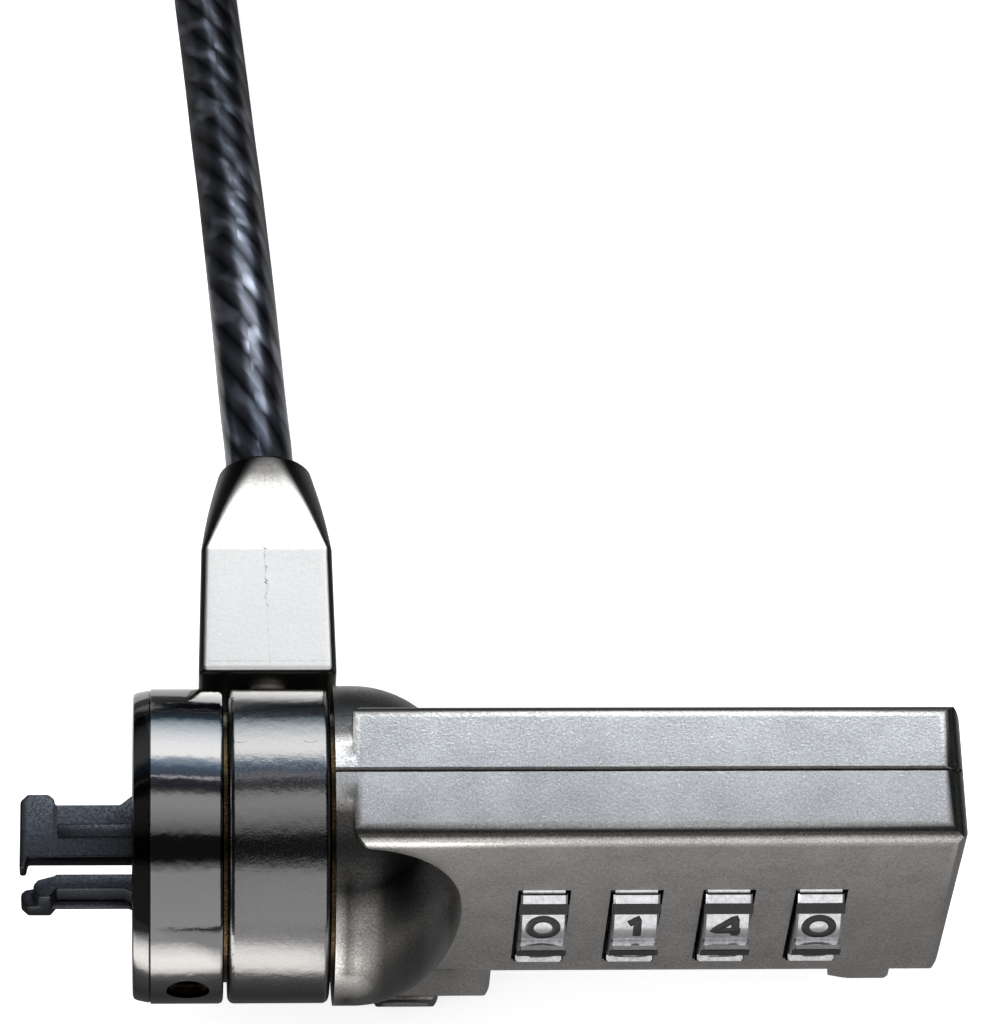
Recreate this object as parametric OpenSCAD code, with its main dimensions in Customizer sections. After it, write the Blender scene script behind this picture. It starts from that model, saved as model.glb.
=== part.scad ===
// Laptop cable lock with a four-dial combination head, swivelling cable ferrule and stored cable.
// Frame: the head lies along X, the nose face is X = 0 and the head axis is Y = 0, Z = 0.
// The dials face -Y, the cable leaves toward +Y and the release nub points down, toward -Z.

/* [Head] */
// Radius of the nose ring and of the swivel ring
ring_r = 11.2; // [10.6:0.1:13]
// Length of the nose ring along the head axis
nose_len = 6.4; // [6.2:0.1:8]
// Thickness of the front wall of the nose ring
nose_wall = 1.6; // [1.2:0.1:2.2]
// Length of the swivel ring along the head axis
swivel_len = 7.2; // [6:0.1:9]
// Gap that holds the brass washer on each side of the swivel ring
washer_gap = 0.3; // [0.2:0.05:0.6]
// Radius of the core barrel that carries both rings
barrel_r = 8.0; // [7.2:0.1:8.6]
// Radius of the flange where the housing meets the swivel ring
flange_r = 11.4; // [10.8:0.1:13]

/* [Bar] */
// Thickness of the bar from its front face to its rear face
bar_t = 11.0; // [10:0.1:13]
// Distance from the rear washer to the free end of the bar
bar_len = 44.2; // [44:0.1:50]
// Height of the top face above the head axis
bar_top = 11.4; // [9.5:0.1:13]
// Depth of the bottom face below the head axis
bar_low = 10.05; // [9.9:0.05:11]
// Rounding of the long edges of the bar
edge_r = 1.4; // [0.6:0.1:2]
// Width of the bevel on each half along the parting line
seam_bevel = 0.2; // [0.1:0.05:0.4]

/* [Dials] */
// Outer radius of each dial wheel
dial_r = 7.5; // [7:0.1:7.6]
// Width of each dial wheel
dial_w = 3.3; // [3:0.1:4]
// Distance from one dial to the next
dial_pitch = 6.55; // [6.2:0.05:7.2]
// Depth of the dial axis below the head axis
dial_drop = 1.9; // [1.6:0.1:2.0]
// Height of each dial window
window_h = 11.0; // [10:0.1:11.2]

/* [Release] */
// Travel of the release slide toward the free end of the bar
travel = 3.0; // [2.5:0.1:3.2]
// Width of the thumb nub along the bar
nub_w = 4.9; // [4:0.1:5.5]
// Depth of the resting face of the nub below the head axis
nub_low = 16.5; // [15.5:0.1:18]

/* [Hooks] */
// Thickness of the two hooks
hook_t = 3.0; // [2.4:0.1:3.0]
// Length of the fixed hook in front of the nose face
hook_len = 8.0; // [7:0.1:9]

/* [Cable] */
// Outer diameter of the coated steel cable
cable_d = 5.0; // [4.2:0.1:5.0]
// Distance from the head axis to the thin end of the cable ferrule
ferrule_end = 30.7; // [29:0.1:32]
// Width of the ferrule block along the head axis
ferrule_w = 9.9; // [9:0.1:10.5]

/* [Hidden] */
$fn = 64;
eps = 0.01;
fit = 0.05;
snug = 0.02;
big = 80;

// Stations along the head axis
sw_x0 = nose_len + washer_gap;
sw_x1 = sw_x0 + swivel_len;
flange_x0 = sw_x1 + washer_gap;
flange_t = 1.4;
collar_wall = 0.9;
collar_t = 1.45;
collar_r = barrel_r + 1.2;
core_x1 = flange_x0 + collar_wall + fit + collar_t;
box_x0 = core_x1 + fit;
box_half = 3.0;
box_low = 11.8;
box_high = 2.6;
box_play = 0.4;
dome_r = flange_r - 3.4;
bar_x0 = flange_x0 + 1.2;
bar_x1 = flange_x0 + bar_len;
half_t = bar_t / 2;
stud_x = sw_x0 + 2.95;

// Release mechanism
slot_x0 = box_x0 + 1.5;
nub_x0 = box_x0 + 0.75;
stem_x0 = slot_x0 + 0.2;
stem_w = 3.0;
slot_x1 = stem_x0 + stem_w + travel + 0.1;
boss_x0 = box_x0 - 0.15;
boss_x1 = slot_x1 + 1.5;
boss_low = 14.0;
nub_half = 5.1;
carrier_x0 = box_x0 + 0.15;
carrier_half = box_half - box_play;
carrier_low = box_low - 1.3;
carrier_x1 = carrier_x0 + 4.8;
box_x1 = carrier_x1 + travel + 0.8;
rod_x1 = carrier_x0 + 1.8;
spindle_x0 = carrier_x0 + 2.4;
spindle_r = 1.6;
rod_r = 1.0;
way_x0 = box_x1 + 1.2;
fin_r = 3.1;
way_r = fin_r + 0.5;

// Dials
dial_x0 = way_x0 + 2.45;
dial_z = -dial_drop;
pocket_w = dial_w + 0.45;
pocket_r = dial_r + 0.2;
window_bevel = 0.3;
hub_r = 4.6;
pad_turn = 17.9;
rib_half = dial_r * sin(5.5);
pad_deep = 0.35;
detent_x0 = dial_x0 - 2.45;
way_x1 = dial_x0 + 3 * dial_pitch + 2.5;
detent_x1 = way_x1;
detent_z = dial_z + dial_r + 1.3;
detent_t = 0.3;
spring_x0 = way_x1 + 1.0;
spring_x1 = bar_x1 - 1.0;
nose_r = 1.2;
spring_seat_x = spring_x0 + 0.7;
wire_r = 0.175;
spring_r = 1.9;
chamber_r = spring_r + 0.8;
reset_x = spring_x0 + 0.4;
reset_top = dial_z - chamber_r - 1.6;
pin_r = 1.0;
pin_len = 3.6;
pin_spots = [[boss_x1 - 3.45, 8.2], [bar_x1 - 3.2, 8.2], [dial_x0 + 1.5 * dial_pitch, -7.6]];

// Hooks
slot_y0 = -4.95;
slot_y1 = 3.85;
pivot_x = flange_x0 - 1.6;
pivot_y = -3.0;
pivot_r = 0.8;
anchor_r = 0.75;
anchor_y = 2.45;
anchor_xa = 5.5;
anchor_xb = pivot_x - 1.1;
pin_half = 5.0;
wedge_x0 = 2.5;
wedge_x1 = pivot_x - 5.4;
wedge_low = 1.0;
wedge_slope = 0.25;
hook_z = hook_t / 2;
hook_in = 2.0;
hook_side = slot_y1 - 0.05;
hook_inner = 1.1;
hook_head = 3.45;
hook_neck = 2.6;
hook_lip = -2.4;

// Cable
cr = cable_d / 2;
ferrule_y0 = ring_r + 0.4;
ferrule_y1 = ferrule_end - 8.7;
ferrule_h = 9.4;
ferrule_tip_r = 3.5;
ferrule_corner_r = 6.45;
tip_round = 0.35;
bore_off = 0.4;
bore_y = ferrule_end - 6.0;
stud_y0 = barrel_r + 0.75;

// Route of the cable: X from the ferrule axis, Y, and the share of the drop to the surface it lies on
drop = cr - nub_low;
run_end_x = -5.5;
coil_y = 127;
run_route = [
    [-0.42, ferrule_end + 2, 0], [-0.8, 37, 0.01], [-1.15, 42, 0.05], [-1.55, 48, 0.13], [-1.95, 54, 0.25],
    [-2.35, 60, 0.39], [-2.8, 66, 0.54], [-3.2, 72, 0.69], [-3.65, 78, 0.82], [-4.15, 84, 0.92],
    [-4.6, 90, 0.98], [-5, 96, 1], [-5.4, 105, 1], [-5.5, 115, 1], [run_end_x, coil_y - 6, 1]
];
coil_r = 34;
layers = 4;
layer_turns = 2.5;
coil_turns = layers * layer_turns + 0.5;
turn_steps = 24;
coil_x = stud_x + run_end_x + coil_r;
turn_gap = cable_d + 0.5;
layer_gap = cable_d + 0.45;

// Sleeve and eye at the free end of the cable, lying on the coil
sleeve_len = 12;
sleeve_w = cable_d * 2 + 2.6;
sleeve_t = cable_d + 1.8;
leg = cr + 0.35;
tail_r = 15;
sleeve_shift = 14;
sleeve_x = coil_x + sleeve_shift;
sleeve_y = coil_y - tail_r - leg;
sleeve_z = drop + (layers - 1) * layer_gap + cr + sleeve_t / 2 + 0.3;
// Half of the eye: distance in front of the sleeve, and distance to the side
eye_half = [
    [1, leg], [4.7, leg], [9, 4.6], [14, 8.2], [19, 11.8], [24, 13.8],
    [28, 13.8], [32, 11.8], [35.4, 8], [37.2, 3]
];

module xcyl(r, x0, x1) {
    translate([x0, 0, 0])
        rotate([0, 90, 0])
            cylinder(r = r, h = x1 - x0);
}

module ycyl(r, y0, y1) {
    translate([0, y0, 0])
        rotate([-90, 0, 0])
            cylinder(r = r, h = y1 - y0);
}

module zcyl(r, z0, z1) {
    translate([0, 0, z0])
        cylinder(r = r, h = z1 - z0);
}

// A box given by its two corners
module block(x0, x1, y0, y1, z0, z1) {
    translate([x0, y0, z0])
        cube([x1 - x0, y1 - y0, z1 - z0]);
}

// A rectangle from corner to corner with round corners
module round_rect(x0, x1, y0, y1, r) {
    translate([x0 + r, y0])
        square([x1 - x0 - 2 * r, y1 - y0]);
    translate([x0, y0 + r])
        square([x1 - x0, y1 - y0 - 2 * r]);
    for (x = [x0 + r, x1 - r])
        for (y = [y0 + r, y1 - r])
            translate([x, y])
                circle(r = r, $fn = 32);
}

// The flat shape is drawn in Y and Z and runs along X
module along_x(x0, x1) {
    translate([x0, 0, 0])
        rotate([90, 0, 90])
            linear_extrude(height = x1 - x0)
                children();
}

// The flat shape is drawn in X and Z and runs along Y
module along_y(y0, y1) {
    translate([0, y1, 0])
        rotate([90, 0, 0])
            linear_extrude(height = y1 - y0)
                children();
}

module along_z(z0, z1) {
    translate([0, 0, z0])
        linear_extrude(height = z1 - z0)
            children();
}

// The flat shape is drawn in radius and X and turns about the head axis
module turned() {
    rotate([0, 90, 0])
        rotate([0, 0, 90])
            rotate_extrude($fn = 96)
                children();
}

// ---- Housing ----

module dome() {
    turned() {
        translate([0, flange_x0])
            square([3.4, flange_t + dome_r]);
        translate([0, flange_x0])
            square([flange_r, flange_t]);
        intersection() {
            translate([3.4, flange_x0 + flange_t])
                circle(r = dome_r, $fn = 96);
            translate([0, flange_x0])
                square([flange_r + 1, flange_t + dome_r]);
        }
    }
}

module bar() {
    intersection() {
        along_x(bar_x0, bar_x1)
            round_rect(-half_t, half_t, -bar_low, bar_top, edge_r);
        along_z(-big, big)
            round_rect(bar_x0, bar_x1, -half_t, half_t, 1.3);
        along_y(-big, big)
            round_rect(bar_x0 - 1.0, bar_x1, -bar_low, bar_top, 1.7);
    }
}

module boss() {
    intersection() {
        along_x(boss_x0, boss_x1)
            round_rect(-half_t + 0.1, half_t - 0.1, -boss_low, -bar_low + 4, 0.9);
        along_z(-big, big)
            round_rect(boss_x0, boss_x1, -half_t + 0.1, half_t - 0.1, 1.0);
        along_y(-big, big)
            round_rect(boss_x0, boss_x1, -boss_low, -bar_low + 4, 1.0);
    }
}

// The low bump round the reset screw
module reset_bump() {
    intersection() {
        along_x(reset_x - 5, reset_x + 5)
            round_rect(-half_t + 0.05, half_t - 0.05, -bar_low - 0.93, -bar_low + 4, 0.5);
        along_y(-big, big)
            polygon([
                [reset_x - 2.2, -bar_low + 1.5], [reset_x - 2.2, -bar_low], [reset_x - 1.2, -bar_low - 0.4],
                [reset_x - 0.1, -bar_low - 0.78], [reset_x + 0.7, -bar_low - 0.93],
                [reset_x + 1.4, -bar_low - 0.85], [reset_x + 1.95, -bar_low - 0.55],
                [reset_x + 2.2, -bar_low - 0.1], [reset_x + 2.2, -bar_low + 1.5]
            ]);
    }
}

module dial_cuts() {
    for (i = [0 : 3])
        translate([dial_x0 + i * dial_pitch, 0, dial_z]) {
            xcyl(pocket_r, -pocket_w / 2, pocket_w / 2);
            for (m = [0, 1])
                mirror([0, m, 0]) {
                    block(-pocket_w / 2, pocket_w / 2, -big, -half_t + 0.9, 0, window_h / 2);
                    along_x(-pocket_w / 2, pocket_w / 2)
                        polygon([
                            [-half_t - 1, -window_h / 2 - window_bevel / 2 - 1], [-half_t - 1, 1],
                            [-half_t + 0.9, 1], [-half_t + 0.9, -window_h / 2 + window_bevel / 2],
                            [-half_t + window_bevel, -window_h / 2 + window_bevel / 2]
                        ]);
                }
        }
}

module housing_cuts() {
    xcyl(barrel_r + fit, flange_x0 - 1, box_x0);
    xcyl(collar_r + fit, flange_x0 + collar_wall, box_x0);
    block(box_x0 - eps, box_x1, -box_half, box_half, -box_low, box_high);
    block(slot_x0, slot_x1, -stem_w / 2 - 0.1, stem_w / 2 + 0.1, -boss_low - 1, 0);
    translate([0, 0, dial_z]) {
        xcyl(spindle_r + fit, box_x1 - 1, spring_x0 + 1);
        xcyl(way_r, way_x0, way_x1);
        xcyl(chamber_r, spring_x0, spring_x1);
    }
    dial_cuts();
    block(detent_x0, detent_x1, -1.9, 1.9, detent_z - 1.6, detent_z);
    for (p = pin_spots)
        translate([p[0], 0, p[1]])
            ycyl(pin_r + snug, -pin_len, pin_len);
    translate([reset_x, 0, 0]) {
        zcyl(1.45, -bar_low - 2, -bar_low + 0.5);
        zcyl(pin_r + fit, -bar_low, reset_top + 0.2);
    }
}

// Bevels along the parting line on the top, the bottom and the free end
module seam_cuts() {
    b = seam_bevel;
    along_x(flange_x0 - 1, bar_x1 + 1) {
        polygon([[-b - 1, bar_top + 1], [0, bar_top - b], [b + 1, bar_top + 1]]);
        polygon([[-b - 1, -bar_low - 1], [0, -bar_low + b], [b + 1, -bar_low - 1]]);
    }
    along_z(-big, big)
        polygon([[bar_x1 + 1, -b - 1], [bar_x1 - b, 0], [bar_x1 + 1, b + 1]]);
}

module housing_half(s) {
    intersection() {
        difference() {
            union() {
                dome();
                bar();
                boss();
                reset_bump();
            }
            housing_cuts();
            seam_cuts();
        }
        if (s < 0)
            block(-big, big, -big, 0, -big, big);
        else
            block(-big, big, 0, big, -big, big);
    }
}

module front_housing() {
    color([0.56, 0.55, 0.53])
        housing_half(-1);
}

module rear_housing() {
    color([0.52, 0.51, 0.5])
        housing_half(1);
}

module locating_pin(spot) {
    color([0.6, 0.6, 0.62])
        translate([spot[0], 0, spot[1]])
            ycyl(pin_r, -pin_len, pin_len);
}

module locating_pin_a() {
    locating_pin(pin_spots[0]);
}

module locating_pin_b() {
    locating_pin(pin_spots[1]);
}

module locating_pin_c() {
    locating_pin(pin_spots[2]);
}

module reset_screw() {
    color([0.45, 0.44, 0.42])
        translate([reset_x, 0, 0])
            difference() {
                union() {
                    zcyl(1.4, -bar_low - 0.9, -bar_low + 0.5);
                    zcyl(pin_r, -bar_low, reset_top);
                }
                block(-2, 2, -0.2, 0.2, -bar_low - 1.5, -bar_low - 0.4);
            }
}

// ---- Core and rings ----

module core_barrel() {
    color([0.3, 0.3, 0.31])
        difference() {
            union() {
                xcyl(barrel_r, nose_wall + fit, core_x1);
                xcyl(collar_r, flange_x0 + collar_wall + fit, core_x1);
            }
            block(nose_wall - 1, flange_x0, slot_y0, slot_y1, -hook_z - fit, hook_z + fit);
            xcyl(rod_r + fit, flange_x0 - 1, core_x1 + 1);
            translate([pivot_x, pivot_y, 0])
                zcyl(pivot_r + snug, -pin_half, barrel_r + 1);
            for (x = [anchor_xa, anchor_xb])
                translate([x, anchor_y, 0])
                    zcyl(anchor_r + snug, -pin_half, barrel_r + 1);
            screw_place()
                zcyl(1.5 + snug, barrel_r - 1.2, barrel_r + 1);
        }
}

// The set screw points out toward -Y and a touch down
module screw_place() {
    translate([3.9, 0, 0])
        rotate([93, 0, 0])
            children();
}

module nose_ring() {
    color([0.2, 0.2, 0.21])
        difference() {
            turned()
                polygon([
                    [0, 0], [ring_r - 0.6, 0], [ring_r - 0.36, 0.1], [ring_r - 0.25, 0.35],
                    [ring_r - 0.08, 1.15], [ring_r - 0.16, 1.2], [ring_r, 1.3], [ring_r, nose_len - 0.3],
                    [ring_r - 0.09, nose_len - 0.09], [ring_r - 0.3, nose_len], [barrel_r + fit, nose_len],
                    [barrel_r + fit, nose_wall], [0, nose_wall]
                ]);
            along_x(-1, nose_wall + 1)
                round_rect(-4.75, 4.75, -hook_z - 0.35, hook_z + 0.35, 0.3);
            screw_place()
                zcyl(1.5 + snug, barrel_r - 1, ring_r + 1);
        }
}

module nose_set_screw() {
    color([0.72, 0.55, 0.3])
        screw_place()
            difference() {
                zcyl(1.5, barrel_r - 1.1, ring_r - 0.8);
                block(-0.75, 0.75, -0.75, 0.75, ring_r - 1.8, ring_r);
            }
}

module brass_washer(x) {
    color([0.7, 0.52, 0.28])
        difference() {
            xcyl(ring_r - 1.5, x, x + washer_gap - fit);
            xcyl(barrel_r + fit, x - 1, x + 1);
        }
}

module front_washer() {
    brass_washer(nose_len);
}

module rear_washer() {
    brass_washer(sw_x1 + fit);
}

module swivel_ring() {
    e = 0.5;
    color([0.2, 0.2, 0.21])
        difference() {
            turned()
                round_band(barrel_r + fit, ring_r, sw_x0, sw_x1, e);
            translate([stud_x, 0, 0])
                ycyl(2.65, stud_y0 - 0.05, ring_r + 2);
        }
}

// Section of a ring whose two outer edges are rounded
module round_band(r0, r1, x0, x1, e) {
    translate([r0, x0])
        square([r1 - e - r0, x1 - x0]);
    translate([r0, x0 + e])
        square([r1 - r0, x1 - x0 - 2 * e]);
    for (x = [x0 + e, x1 - e])
        translate([r1 - e, x])
            circle(r = e, $fn = 32);
}

// ---- Ferrule ----

module cable_ferrule() {
    w = ferrule_w / 2;
    h = ferrule_h / 2;
    t = ferrule_tip_r;
    b = 0.3;
    color([0.86, 0.86, 0.85])
        translate([stud_x, 0, 0])
            difference() {
                union() {
                    ycyl(2.6, stud_y0, ferrule_y0 + 0.5);
                    ycyl(3.0, ring_r + 0.1, ferrule_y0 + 0.5);
                    intersection() {
                        along_z(-big, big)
                            polygon([
                                [-w, ferrule_y0 + b], [-w + b, ferrule_y0], [w - b, ferrule_y0],
                                [w, ferrule_y0 + b], [w - 0.2, ferrule_y1], [t, ferrule_end],
                                [-t, ferrule_end], [-w + 0.2, ferrule_y1]
                            ]);
                        along_x(-big, big)
                            polygon([
                                [ferrule_y0 + b, -h], [ferrule_y0, -h + b], [ferrule_y0, h - b],
                                [ferrule_y0 + b, h], [ferrule_y1, h], [ferrule_end, t],
                                [ferrule_end, -t], [ferrule_y1, -h]
                            ]);
                        ferrule_round();
                    }
                }
                translate([-bore_off, 0, 0])
                    ycyl(cr + 0.1, bore_y, ferrule_end + 1);
            }
}

// The turned form that rounds the corners of the ferrule and its taper toward the tip
module ferrule_round() {
    t = ferrule_tip_r;
    mid_y = (ferrule_y1 + ferrule_end) / 2;
    rotate([-90, 0, 0])
        rotate_extrude($fn = 96)
            polygon([
                [0, ferrule_y0 - 1], [ferrule_corner_r, ferrule_y0 - 1], [ferrule_corner_r, ferrule_y1],
                [(ferrule_corner_r + t) / 2 - 0.1, mid_y], [t, ferrule_end - tip_round],
                [t - 0.1, ferrule_end - 0.1], [t - tip_round, ferrule_end], [0, ferrule_end]
            ]);
}

// ---- Hooks ----

module fixed_hook() {
    l = hook_len;
    hook_back = [
        [hook_in, hook_inner], [pivot_x + 1, hook_inner], [pivot_x + 1, hook_side], [hook_in, hook_side],
        [hook_in - 0.2, hook_side - 0.4], [0, hook_side - 0.4], [-0.9, hook_neck], [-l + 2.5, hook_neck],
        [-l + 2.4, hook_neck + 0.5], [-l + 2.0, hook_head], [-l + 0.5, hook_head], [-l, hook_head - 0.55]
    ];
    color([0.22, 0.23, 0.25])
        difference() {
            union() {
                along_z(-hook_z, 0.05)
                    polygon(concat([[-l, -0.8], [hook_in, -0.8]], hook_back));
                along_z(0, hook_z)
                    polygon(concat([
                        [-l, hook_lip], [-l + 0.45, hook_lip],
                        [-l + 0.6, hook_lip + 0.8], [hook_in, hook_lip + 0.8]
                    ], hook_back));
            }
            for (x = [anchor_xa, anchor_xb])
                translate([x, anchor_y, 0])
                    zcyl(anchor_r + snug, -big, big);
        }
}

module moving_hook() {
    l = hook_len;
    x1 = pivot_x - 2.6;
    color([0.22, 0.23, 0.25])
        difference() {
            union() {
                along_z(-hook_z, hook_z)
                    polygon([
                        [-l + 2.6, -4.15], [-0.6, -4.15], [0.3, -4.6], [pivot_x, -4.6], [pivot_x, -3.0],
                        [x1, -wedge_low - 0.08 - wedge_slope * (x1 - wedge_x0)],
                        [wedge_x0 - 0.2, -wedge_low - 0.03], [1.9, -2.4], [0.4, -2.95],
                        [-l + 2.6, -2.95]
                    ]);
                along_z(-hook_z, -0.05)
                    polygon([
                        [-l + 0.1, -3.7], [-l + 0.4, -3.4], [-l + 2.7, -3.0], [-l + 2.7, -4.1],
                        [-l + 2.2, -4.8], [-l + 0.6, -4.8], [-l + 0.1, -4.3]
                    ]);
                along_z(-0.06, hook_z)
                    polygon([
                        [-l + 1.0, -3.8], [-l + 1.3, -3.4], [-l + 2.7, -3.0], [-l + 2.7, -4.1],
                        [-l + 2.2, -4.8], [-l + 1.4, -4.8], [-l + 1.0, -4.3]
                    ]);
                translate([pivot_x, pivot_y, 0])
                    zcyl(2 * pivot_r, -hook_z, hook_z);
            }
            translate([pivot_x, pivot_y, 0])
                zcyl(pivot_r + fit, -big, big);
        }
}

module hook_pivot_pin() {
    color([0.6, 0.6, 0.62])
        translate([pivot_x, pivot_y, 0])
            zcyl(pivot_r, -pin_half, pin_half);
}

module anchor_pin(x) {
    color([0.6, 0.6, 0.62])
        translate([x, anchor_y, 0])
            zcyl(anchor_r, -pin_half, pin_half);
}

module hook_anchor_pin_a() {
    anchor_pin(anchor_xa);
}

module hook_anchor_pin_b() {
    anchor_pin(anchor_xb);
}

// The wedge between the hooks, and the rod that pulls it back
module hook_driver() {
    color([0.62, 0.62, 0.64]) {
        along_z(-hook_z + 0.3, hook_z - 0.3)
            polygon([
                [wedge_x0, wedge_low], [wedge_x1, wedge_low],
                [wedge_x1, -wedge_low - wedge_slope * (wedge_x1 - wedge_x0)], [wedge_x0, -wedge_low]
            ]);
        xcyl(rod_r, wedge_x1 - 0.2, rod_x1);
    }
}

// ---- Release ----

module slide_carrier() {
    color([0.7, 0.69, 0.66])
        difference() {
            block(carrier_x0, carrier_x1, -carrier_half, carrier_half, -carrier_low, box_high - box_play);
            xcyl(rod_r + snug, carrier_x0 - 1, rod_x1);
            translate([0, 0, dial_z])
                xcyl(spindle_r + snug, spindle_x0, carrier_x1 + 1);
        }
}

module release_slide() {
    x1 = nub_x0 + nub_w;
    color([0.5, 0.49, 0.47])
        difference() {
            union() {
                intersection() {
                    along_x(nub_x0, x1)
                        round_rect(-nub_half, nub_half, -nub_low, -boss_low - 0.2, 1.2);
                    along_z(-big, big)
                        round_rect(nub_x0, x1, -nub_half, nub_half, 1.0);
                    along_y(-big, big)
                        polygon([
                            [nub_x0, -boss_low - 0.2], [x1, -boss_low - 0.2], [x1, -nub_low + 0.7],
                            [x1 - 0.7, -nub_low], [nub_x0 + 0.7, -nub_low], [nub_x0, -nub_low + 0.7]
                        ]);
                }
                block(stem_x0, stem_x0 + stem_w, -stem_w / 2, stem_w / 2, -boss_low - 0.3, -carrier_low);
            }
            for (k = [-1 : 1])
                along_y(-big, big)
                    translate([nub_x0 + nub_w / 2 + k * 1.1, -nub_low])
                        rotate(45)
                            square(0.42, center = true);
        }
}

module lock_spindle() {
    color([0.66, 0.66, 0.67])
        translate([0, 0, dial_z]) {
            xcyl(spindle_r, spindle_x0, spring_x0 + 0.3);
            xcyl(nose_r, spring_x0, spring_x0 + 1.7);
            for (i = [0 : 3])
                translate([dial_x0 + i * dial_pitch - 1.8, 0, 0])
                    block(0, 1.0, -0.9, 0.9, -fin_r, -spindle_r + 0.5);
        }
}

module spring_collar() {
    color([0.66, 0.66, 0.67])
        translate([0, 0, dial_z])
            difference() {
                xcyl(2.4, spring_x0 + 0.3, spring_seat_x);
                xcyl(nose_r + snug, spring_x0, spring_x0 + 3);
            }
}

// Points of a helix about the dial axis
function helix(turns, n, x0, x1) = [
    for (k = [0 : turns * n])
        [x0 + (x1 - x0) * k / (turns * n), spring_r * cos(360 * k / n), dial_z + spring_r * sin(360 * k / n)]
];

module release_spring() {
    color([0.75, 0.75, 0.76])
        tube(helix(3, 10, spring_seat_x + wire_r + 0.03, spring_x1 - wire_r - 0.03), wire_r, 6, [1, 0, 0]);
}

// ---- Dials ----

module dial(i) {
    color([0.8, 0.8, 0.81])
        translate([dial_x0 + i * dial_pitch, 0, dial_z])
            difference() {
                union() {
                    turned_flat(dial_r - pad_deep, dial_w, 0.15);
                    intersection() {
                        turned_flat(dial_r, dial_w, 0.15);
                        for (k = [0 : 9])
                            rotate([36 * k + 18 - pad_turn, 0, 0])
                                block(-dial_w, dial_w, -dial_r - 1, -hub_r - 1, -rib_half, rib_half);
                    }
                }
                xcyl(hub_r + snug, -dial_w, dial_w);
                for (k = [0 : 9])
                    rotate([36 * k - pad_turn, 0, 0])
                        block(-dial_w, dial_w, -hub_r - 0.55, -hub_r + 0.5, -0.4, 0.4);
            }
}

// A disc on the X axis with bevelled edges
module turned_flat(r, w, b) {
    turned()
        polygon([
            [0, -w / 2], [r - b, -w / 2], [r, -w / 2 + b],
            [r, w / 2 - b], [r - b, w / 2], [0, w / 2]
        ]);
}

module dial_hub(i) {
    g = 0.5;
    color([0.62, 0.6, 0.56])
        translate([dial_x0 + i * dial_pitch, 0, dial_z])
            difference() {
                union() {
                    xcyl(hub_r, -dial_w / 2, dial_w / 2);
                    rotate([-pad_turn, 0, 0])
                        block(-dial_w / 2, dial_w / 2, -hub_r - 0.5, -hub_r + 0.5, -0.37, 0.37);
                }
                xcyl(spindle_r + fit, -dial_w, dial_w);
                xcyl(fin_r + 0.4, -dial_w, -g);
                xcyl(fin_r + 0.4, g, dial_w);
                block(-dial_w, dial_w, -1.05, 1.05, -fin_r - 0.25, 0);
            }
}

module dial_1() {
    dial(0);
}

module dial_2() {
    dial(1);
}

module dial_3() {
    dial(2);
}

module dial_4() {
    dial(3);
}

module dial_hub_1() {
    dial_hub(0);
}

module dial_hub_2() {
    dial_hub(1);
}

module dial_hub_3() {
    dial_hub(2);
}

module dial_hub_4() {
    dial_hub(3);
}

// A flat strip over the dials with one nose for each dial
module detent_spring() {
    color([0.74, 0.74, 0.75]) {
        block(detent_x0 + 0.3, detent_x1 - 0.3, -1.5, 1.5, detent_z - detent_t, detent_z);
        for (i = [0 : 3])
            translate([dial_x0 + i * dial_pitch, 0, 0])
                along_x(-0.6, 0.6)
                    polygon([
                        [-0.7, detent_z - detent_t + eps], [-0.25, dial_z + dial_r - 0.2],
                        [0.25, dial_z + dial_r - 0.2], [0.7, detent_z - detent_t + eps]
                    ]);
    }
}

// ---- Cable ----

function unit(v) = v / norm(v);
function back(p, k) = p[max(k - 1, 0)];
function ahead(p, k) = p[min(k + 1, len(p) - 1)];
function tangent(p, k) = unit(ahead(p, k) - back(p, k));
function side_of(up, t) = unit(cross(t, up));
function ring_at(c, t, r, n, up) =
    let (a = side_of(up, t), b = cross(t, a))
    [for (j = [0 : n - 1]) c + r * (cos(360 * j / n) * b + sin(360 * j / n) * a)];

// A solid tube along the points p, with rings square to the path and flat ends
module tube(p, r, n, up) {
    m = len(p);
    pts = [for (k = [0 : m - 1]) each ring_at(p[k], tangent(p, k), r, n, up)];
    sides = [
        for (k = [0 : m - 2])
            for (j = [0 : n - 1])
                each [
                    [k * n + j, (k + 1) * n + (j + 1) % n, (k + 1) * n + j],
                    [k * n + j, k * n + (j + 1) % n, (k + 1) * n + (j + 1) % n]
                ]
    ];
    start = [for (j = [n - 1 : -1 : 0]) j];
    end = [for (j = [0 : n - 1]) (m - 1) * n + j];
    polyhedron(points = pts, faces = concat([start], sides, [end]), convexity = 10);
}

module cable_run() {
    route = concat(
        [[stud_x - bore_off, bore_y + 0.1, 0], [stud_x - bore_off, ferrule_end, 0]],
        [for (q = run_route) [stud_x + q[0], q[1], drop * q[2]]]
    );
    color([0.1, 0.1, 0.11])
        tube(route, cr, 12, [0, 0, 1]);
}

// Radius of the coil after u turns: in, out, in and out again, then half a turn to the end
function wound_r(u) = coil_r - turn_gap * (layer_turns - abs(u % (2 * layer_turns) - layer_turns));
function spiral_r(u) = u > layers * layer_turns ? coil_r + 4 * (u - layers * layer_turns) : wound_r(u);
function smooth(t) = t <= 0 ? 0 : t >= 1 ? 1 : t * t * (3 - 2 * t);
function climb(u, at) = smooth(2 * (u - at) + 0.5);
function coil_z(u) =
    drop + layer_gap * (climb(u, layer_turns) + climb(u, 2 * layer_turns) + climb(u, 3 * layer_turns))
    + (cr + sleeve_t / 2 + 0.3) * climb(u, layers * layer_turns + 0.15);
function coil_point(u) = [
    coil_x + spiral_r(u) * cos(180 - 360 * u), coil_y + spiral_r(u) * sin(180 - 360 * u), coil_z(u)
];
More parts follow.
